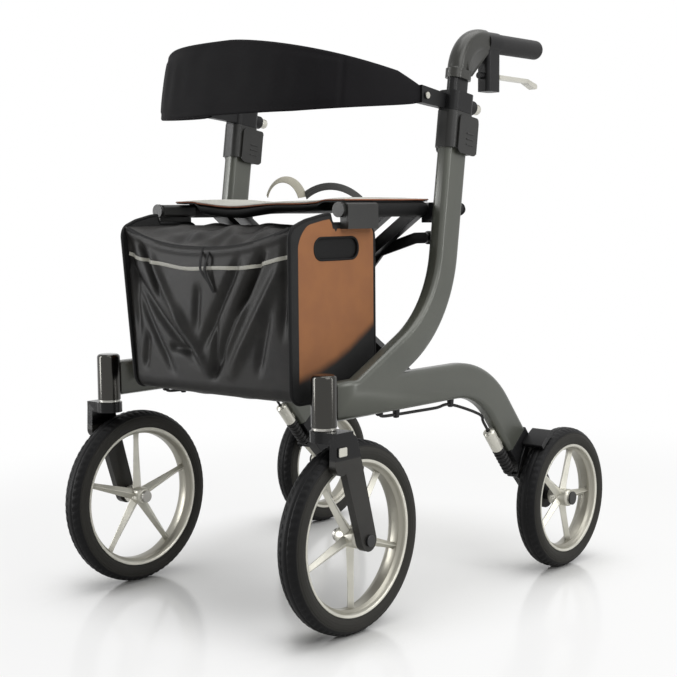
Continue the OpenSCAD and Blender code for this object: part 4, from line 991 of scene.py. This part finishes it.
for side, sign in SIDES:
    points, faces = panel_shell()
    panel = make(f"bag_panel_{side}", (seat_panel(points, sign), faces))
    at = places(panel)
    outer = sign * np.array([v.normal.x for v in panel.data.vertices]) > 0.2
    note(panel, "inside", np.where(outer, brown_room(at[:, 1], at[:, 2]), -5))
    note(panel, "above", above_fade(at[:, 1], at[:, 2]))
    nodes = ("bag_panels",) if sign > 0 else ()
    dress(panel, "left_frame", "panel_brown", *nodes)
    fold_flat(panel)
    ring = np.insert(board_edge[::4], 0, 0.0, axis=1)
    rolled = along(ring, round_rect(5.6, 6.2, 2.6, 4), (1, 0, 0), closed=True)
    hole = np.insert(hole_edge[::3], 0, 1.5, axis=1)
    sewn = along(hole, circle(2.0, 8), (1, 0, 0), closed=True)
    # A dark sheet just behind the hand hole: partly the bag's own black end, partly painted shade of the
    # hole's recess.
    hole_shade_sheet = slab(round_rect(100, 31, 15, 10) + HOLE_MID, -3.6, -1.0)
    shells = [(seat_panel(points, sign), faces) for points, faces in (rolled, sewn, hole_shade_sheet)]
    binding = make(f"panel_binding_and_hole_shade_{side}", *shells)
    dress(binding, "left_frame", "black_fabric", finish="binding")
    fold_flat(binding)
    print(side, "panel", len(panel.data.polygons), "faces")

# %% [markdown]
# ## The seat
# The seat is a padded cloth that hangs between two tubes, each in a sewn sleeve. From the front it shows as
# a pale pad, a thin orange piping and a black base. All three share one height function, so they follow one
# curve; the pad is crowned, sags between the tubes and has a sewn line near its edge.

# %% Seat pad, piping and base
SEAT_FRONT = -225.31
SEAT_DEPTH = 212.0
SEAT_SKEW = 41.0
SEAT_HALF = 211.0
SEAT_TOP = 663.9
SEAT_SAG = 7.0
PIPING_R = 0.9


def seat_sag(u):
    """1 in the middle, 0 at the tubes."""
    return np.maximum(0, 1 - (u / 0.8) ** 2)


def seat_height(u, v):
    """Top of the seat: sagged between the tubes, crowned along it, with a wave in its front edge."""
    wave = 2.6 * np.sin(np.radians(u * 300 + 20)) * seat_sag(u) * (1 - v) / 2
    return SEAT_TOP - SEAT_SAG * seat_sag(u) + 2.4 * (1 - v ** 2) * (1 - u ** 6) + wave


def seat_thick(u, v):
    """Thin over the tubes, fuller between them."""
    between = 1 - soft_step(np.abs(u), 0.7, 0.77)
    return 6 + between * (8 * (1 - v ** 8) + 4)


def seat_y(u, v):
    """Place along the seat; its front edge runs askew."""
    return SEAT_FRONT + SEAT_SKEW * (1 - u) * (1 - v) / 4 + SEAT_DEPTH * (v + 1) / 2


def seat_layer(high, low, inset, bulge, hang=0.0):
    """A pad between two shares of the seat's thickness; its front may hang lower towards the right."""
    u = np.linspace(-1, 1, 121)[:, None]
    v = np.linspace(-1, 1, 48)[None] * (1 - inset)
    t = seat_thick(u, v)
    line = np.exp(-((np.abs(v) - 0.86) / 0.02) ** 2) + np.exp(-((np.abs(u) - 0.93) / 0.012) ** 2)
    soft = (1 - np.abs(v / (1 - inset)) ** 8) * (1 - np.abs(u) ** 14) - 0.8 * np.minimum(line, 1)
    top = seat_height(u, v) - high * t + bulge * soft
    lower = (1 - soft_step(np.abs(u), 0.68, 0.75)) * soft_step(-u, -0.25, 0.3) * soft_step(-v, 0.5, 0.95)
    under = seat_height(u, v) - low * t - hang * lower
    edge = (1 - np.abs(v / (1 - inset)) ** 14) * (1 - np.abs(u) ** 40)
    middle, half = (top + under) / 2, (top - under) / 2 * (0.45 + 0.55 * edge)
    top, under = middle + half, middle - half
    x = u * SEAT_HALF * (1 - 0.2 * inset) + 0 * v
    y = seat_y(u, v)
    z = np.concatenate([top, under[:, ::-1]], 1)
    return grid(np.stack([np.concatenate([x, x], 1), np.concatenate([y, y[:, ::-1]], 1), z], -1))


def seat_piping_shell():
    """A cord round the seat's edge, between pad and base."""
    s, e = np.linspace(-1, 1, 70), np.linspace(-1, 1, 24)[1:-1]
    u = np.concatenate([s, 0 * e + 1, -s, 0 * e - 1])
    v = np.concatenate([0 * s - 1, e, 0 * s + 1, -e])
    z = seat_height(u, v) - 0.32 * seat_thick(u, v)
    path = np.stack([u * SEAT_HALF, seat_y(u, v), z], -1)
    return along(path, circle(PIPING_R, 8), (0, 0, 1), closed=True)


def bend_with_seat(piece):
    """Bakes the piece's placement into its mesh."""
    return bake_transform(piece)


def sleeve_shell(sign):
    """The seat's sewn sleeve round its tube, behind the bag's hook and before the cradle."""
    profile = [(10.6, -155), (11.8, -155), (12.1, -148), (12.1, -30), (11.8, -21), (10.6, -21)]
    points, faces = turned_shell(profile, 40)
    return points[:, (1, 0, 2)] + (sign * TUBE_X / MM, 0, TUBE_Z / MM), faces


for side, sign in SIDES:
    sleeve = make(f"seat_sleeve_{side}", sleeve_shell(sign))
    dress(sleeve, carrier[f"seat_tube_{side}"], "black_fabric", finish="binding")
seat_pad = make("seat_pad", seat_layer(0.0, 0.3, 0.0, 1.0), sharp=60)
dress(seat_pad, None, "seat_fabric", "seat_sling")
seat_base = make("seat_base", seat_layer(0.34, 1.0, 0.01, 0.0, 8.0), sharp=60)
dress(seat_base, None, "black_fabric", finish="binding")
seat_piping = make("seat_piping", seat_piping_shell())
dress(seat_piping, None, "seat_fabric", finish="orange_piping")
for piece in (seat_pad, seat_base, seat_piping):
    bend_with_seat(piece)
print("seat", len(seat_pad.data.polygons), "faces")

# %% [markdown]
# ## Pull straps
# Two webbing loops on the seat are lifted to fold the rollator. A strip of cloth could be simulated, but an
# arc through two feet and a top gives each loop's seen height at once. A flat profile is carried over it and
# twisted from foot to foot.

# %% Pull straps
LOOP_W = 16.0
LOOP_T = 1.6
LOOP_Y = SEAT_FRONT + SEAT_DEPTH * 0.59


def seat_under(x, y):
    """Height of the seat's top under a place in plan."""
    u = x / SEAT_HALF
    k = SEAT_SKEW * (1 - u) / 2
    return seat_height(u, 2 * (y - SEAT_FRONT - k) / (SEAT_DEPTH - k) - 1)


def loop_shell(x, half, rise, y, twist):
    """An arc of a circle through two feet and a top, with the webbing tilted about it by two angles."""
    r = (half ** 2 + rise ** 2) / (2 * rise)
    foot = math.asin(half / r)
    a = np.linspace(-foot * 0.985, foot * 0.985, 48)
    px = x + (r - LOOP_T / 2) * np.sin(a)
    z = SEAT_TOP + rise - r + (r - LOOP_T / 2) * np.cos(a)
    z = np.maximum(z, seat_under(px, y + LOOP_W / 2) + LOOP_T)
    tilt = np.radians(np.interp(a, (-foot, foot), twist))[:, None]
    outwards = np.stack([np.sin(a), 0 * a, np.cos(a)], -1)
    side = np.cos(tilt) * (0, 1, 0) + np.sin(tilt) * outwards
    path = np.stack([px, y + LOOP_W / 2 + 0 * a, z + LOOP_W / 2 * np.abs(np.sin(tilt[:, 0]))], -1)
    return along(path, round_rect(LOOP_W, LOOP_T, 0.6, 3), side)


light_loop = make("pull_strap_light", loop_shell(-37, 42, 31, LOOP_Y, (52, 28)))
dress(light_loop, None, "webbing", "pull_straps")
dark_loop = make("pull_strap_dark", loop_shell(67, 60, 17, LOOP_Y + 4, (76, 14)))
dress(dark_loop, None, "black_fabric", finish="dark_webbing")
for piece in (light_loop, dark_loop):
    bend_with_seat(piece)
print("pull straps made")

# %% [markdown]
# ## The back strap
# A padded strap bows out in front between its two holders. Its plan is a rounded box curve; at each place a
# flat pillow section stands across it, low at the ends and full in the middle, pinched where the pad is
# sewn to its end pieces.

# %% Padded strap
STRAP_HALF = 238.0
STRAP_Y = -74.1
STRAP_REACH = 205.0
STRAP_H = 120.0
STRAP_END_H = 28.0
STRAP_T = 14.0
STRAP_EAR = 13.0
STRAP_DROP = 17.0
STRAP_LEAN = 24.0
ARM_Z = 828.6
SEAMS = (39.0, 141.0)


def strap_line(a):
    """Plan of the strap's middle line: cosine and sine, each to the power 0.72."""
    c, s = np.cos(a), np.sin(a)
    x = STRAP_HALF * np.sign(c) * np.abs(c) ** 0.72
    return np.stack([x, STRAP_Y - STRAP_REACH * np.abs(s) ** 0.72], -1)


def strap_levels(deg):
    """Lower and upper edge and the share of the rise: even on the left, fuller on the right, round-ended."""
    near = np.minimum(deg, 180 - deg)
    rise = np.where(deg <= 90, deg / 90, 1 - (np.maximum(deg - 90, 0) / 90) ** 3)
    drop = STRAP_DROP * np.minimum(1, near / 62) ** 0.5
    ear = STRAP_EAR * np.minimum(1, near / 9) ** 0.6
    low = ARM_Z - STRAP_END_H / 2 - drop
    high = ARM_Z + STRAP_END_H / 2 + ear + (STRAP_H - STRAP_END_H - STRAP_EAR - STRAP_DROP) * rise
    return low, high, rise


def strap_shell():
    """Rows along the strap; a column goes round a pillow section."""
    deg = np.linspace(0, 180, 181)
    a = np.radians(deg)
    p = strap_line(a)
    d = unit(strap_line(np.minimum(a + 0.008, np.pi)) - strap_line(np.maximum(a - 0.008, 0)))
    n = np.stack([d[:, 1], -d[:, 0]], -1)
    low, high, s = strap_levels(deg)
    c = np.linspace(0, 2 * np.pi, 44, endpoint=False)[None]
    seam = sum(np.exp(-((deg - at) / 1.2) ** 2) for at in SEAMS)[:, None]
    ends = soft_step(np.minimum(deg, 180 - deg), 30, 48)[:, None]
    h = (1 + np.sign(np.sin(c)) * np.abs(np.sin(c)) ** 0.75) / 2 + 0 * seam
    thick = STRAP_T / 2 * (0.55 + 0.45 * ends) * (1 - 0.5 * seam)
    stitched = 1 - 0.35 * sum(np.exp(-((h - at) / 0.022) ** 2) for at in (0.08, 0.92)) * ends
    crease = 0.5 * np.sin(a * 34)[:, None] * np.sin(np.pi * h) * ends
    e = (thick * np.sign(np.cos(c)) * np.abs(np.cos(c)) ** 0.6 + crease * np.abs(np.cos(c))) * stitched
    x = p[:, :1] + n[:, :1] * e
    y = p[:, 1:] + n[:, 1:] * e + STRAP_LEAN * s[:, None] * h
    z = low[:, None] + (high - low)[:, None] * h
    return grid(np.stack([x, y, z], -1))


strap = make("back_strap_pad", strap_shell(), sharp=60)
dress(strap, "left_frame", "black_fabric", "backrest_strap", finish="strap_cloth")
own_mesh(strap)
print("back strap", len(strap.data.polygons), "faces")

# %% [markdown]
# ## Floor and light
# A studio sweep: a background that is white to the camera and in reflections but lights only weakly, and a
# pale floor that fades into it outside the wheels. Painting a shadow would not follow a pose, so the floor
# keeps the real one: occlusion, which grows where something stands close above, holds the white back at the
# wheels. A large soft lamp stands to the left and another overhead, at a level where a colour renders about
# as written. Two tall narrow lamps, left and right in the picture, only show in reflections, as the upright
# streaks that tell a polished tube from a painted one.

# %% Floor, world and lamps
FLOOR_HALF = 8000.0
SHADE_X, SHADE_Y, SHADE_SQUEEZE = -0.02, 0.05, 1.2
SHADE_EDGE = (0.28, 0.6)
GLOSS_EDGE = (0.9, 1.8)
CONTACT_REACH = 0.18
corner = np.array([(-1, -1), (1, -1), (1, 1), (-1, 1)]) * FLOOR_HALF
floor = make("floor", (np.column_stack([corner, np.zeros(4)]), [np.array([[0, 1, 2, 3]])]))
p = Paint("floor")
glow = p.node("ShaderNodeEmission", None, {"Color": (1, 1, 1, 1), "Strength": 1.0})
shown = p.on_view()
east, north, _ = p.axes()
east, north = (east - SHADE_X) * SHADE_SQUEEZE, north - SHADE_Y
away = (east * east + north * north) ** 0.5
unshaded = p.node("ShaderNodeAmbientOcclusion", {"samples": 16}, {"Distance": CONTACT_REACH}, out=1)
whiteness = 0.15 + 0.6 * away.step(*SHADE_EDGE) + 0.25 * away.step(*GLOSS_EDGE)
whiteness = whiteness * unshaded.step(0.62, 1.0) * shown
p.finish(tone(240, 240, 238), 0.12 + 0.05 * p.noise(3.0))
both = p.node("ShaderNodeMixShader", None, {0: whiteness, 1: Wire(p, p.shader.outputs[0]), 2: glow})
p.feed(p.tree.nodes["Material Output"].inputs["Surface"], both)
floor.data.materials.append(p.material)

world = bpy.data.worlds.new("studio")
scene.world = world
world.use_nodes = True
sky = Paint("sky_wiring")
sky.tree = world.node_tree
seen = sky.on_view()
back = sky.tree.nodes["Background"]
back.inputs["Color"].default_value = (1, 1, 1, 1)
sky.feed(back.inputs["Strength"], 0.22 + 0.78 * seen)
bpy.data.materials.remove(sky.material)


def lamp(name, place, target, size, power, streak=False):
    """A soft lamp of a width and height that looks at a target; a streak lamp only shows in reflections."""
    light = bpy.data.lights.new(name, "AREA")
    light.shape = "RECTANGLE"
    light.size, light.size_y = size
    light.energy = power
    holder = bpy.data.objects.new(name, light)
    look = (Vector(target) - Vector(place)).to_track_quat("-Z", "Y").to_matrix().to_4x4()
    holder.matrix_world = Matrix.Translation(place) @ look
    holder.visible_diffuse = not streak
    scene.collection.objects.link(holder)


lamp("key", (2.8, -0.5, 2.4), (0, 0, 0.4), (2.0, 2.0), 44)
lamp("top", (0.5, 0.4, 3.4), (0, 0, 0.4), (3.0, 3.0), 72)
lamp("left_streak", (-1.5, -1.7, 0.9), (0.1, -0.3, 0.5), (0.5, 1.6), 36, streak=True)
lamp("right_streak", (2.4, 0.9, 0.9), (0.1, 0, 0.5), (0.3, 1.6), 14, streak=True)
scene.view_settings.view_transform = "Standard"
print("floor, world and four lamps")
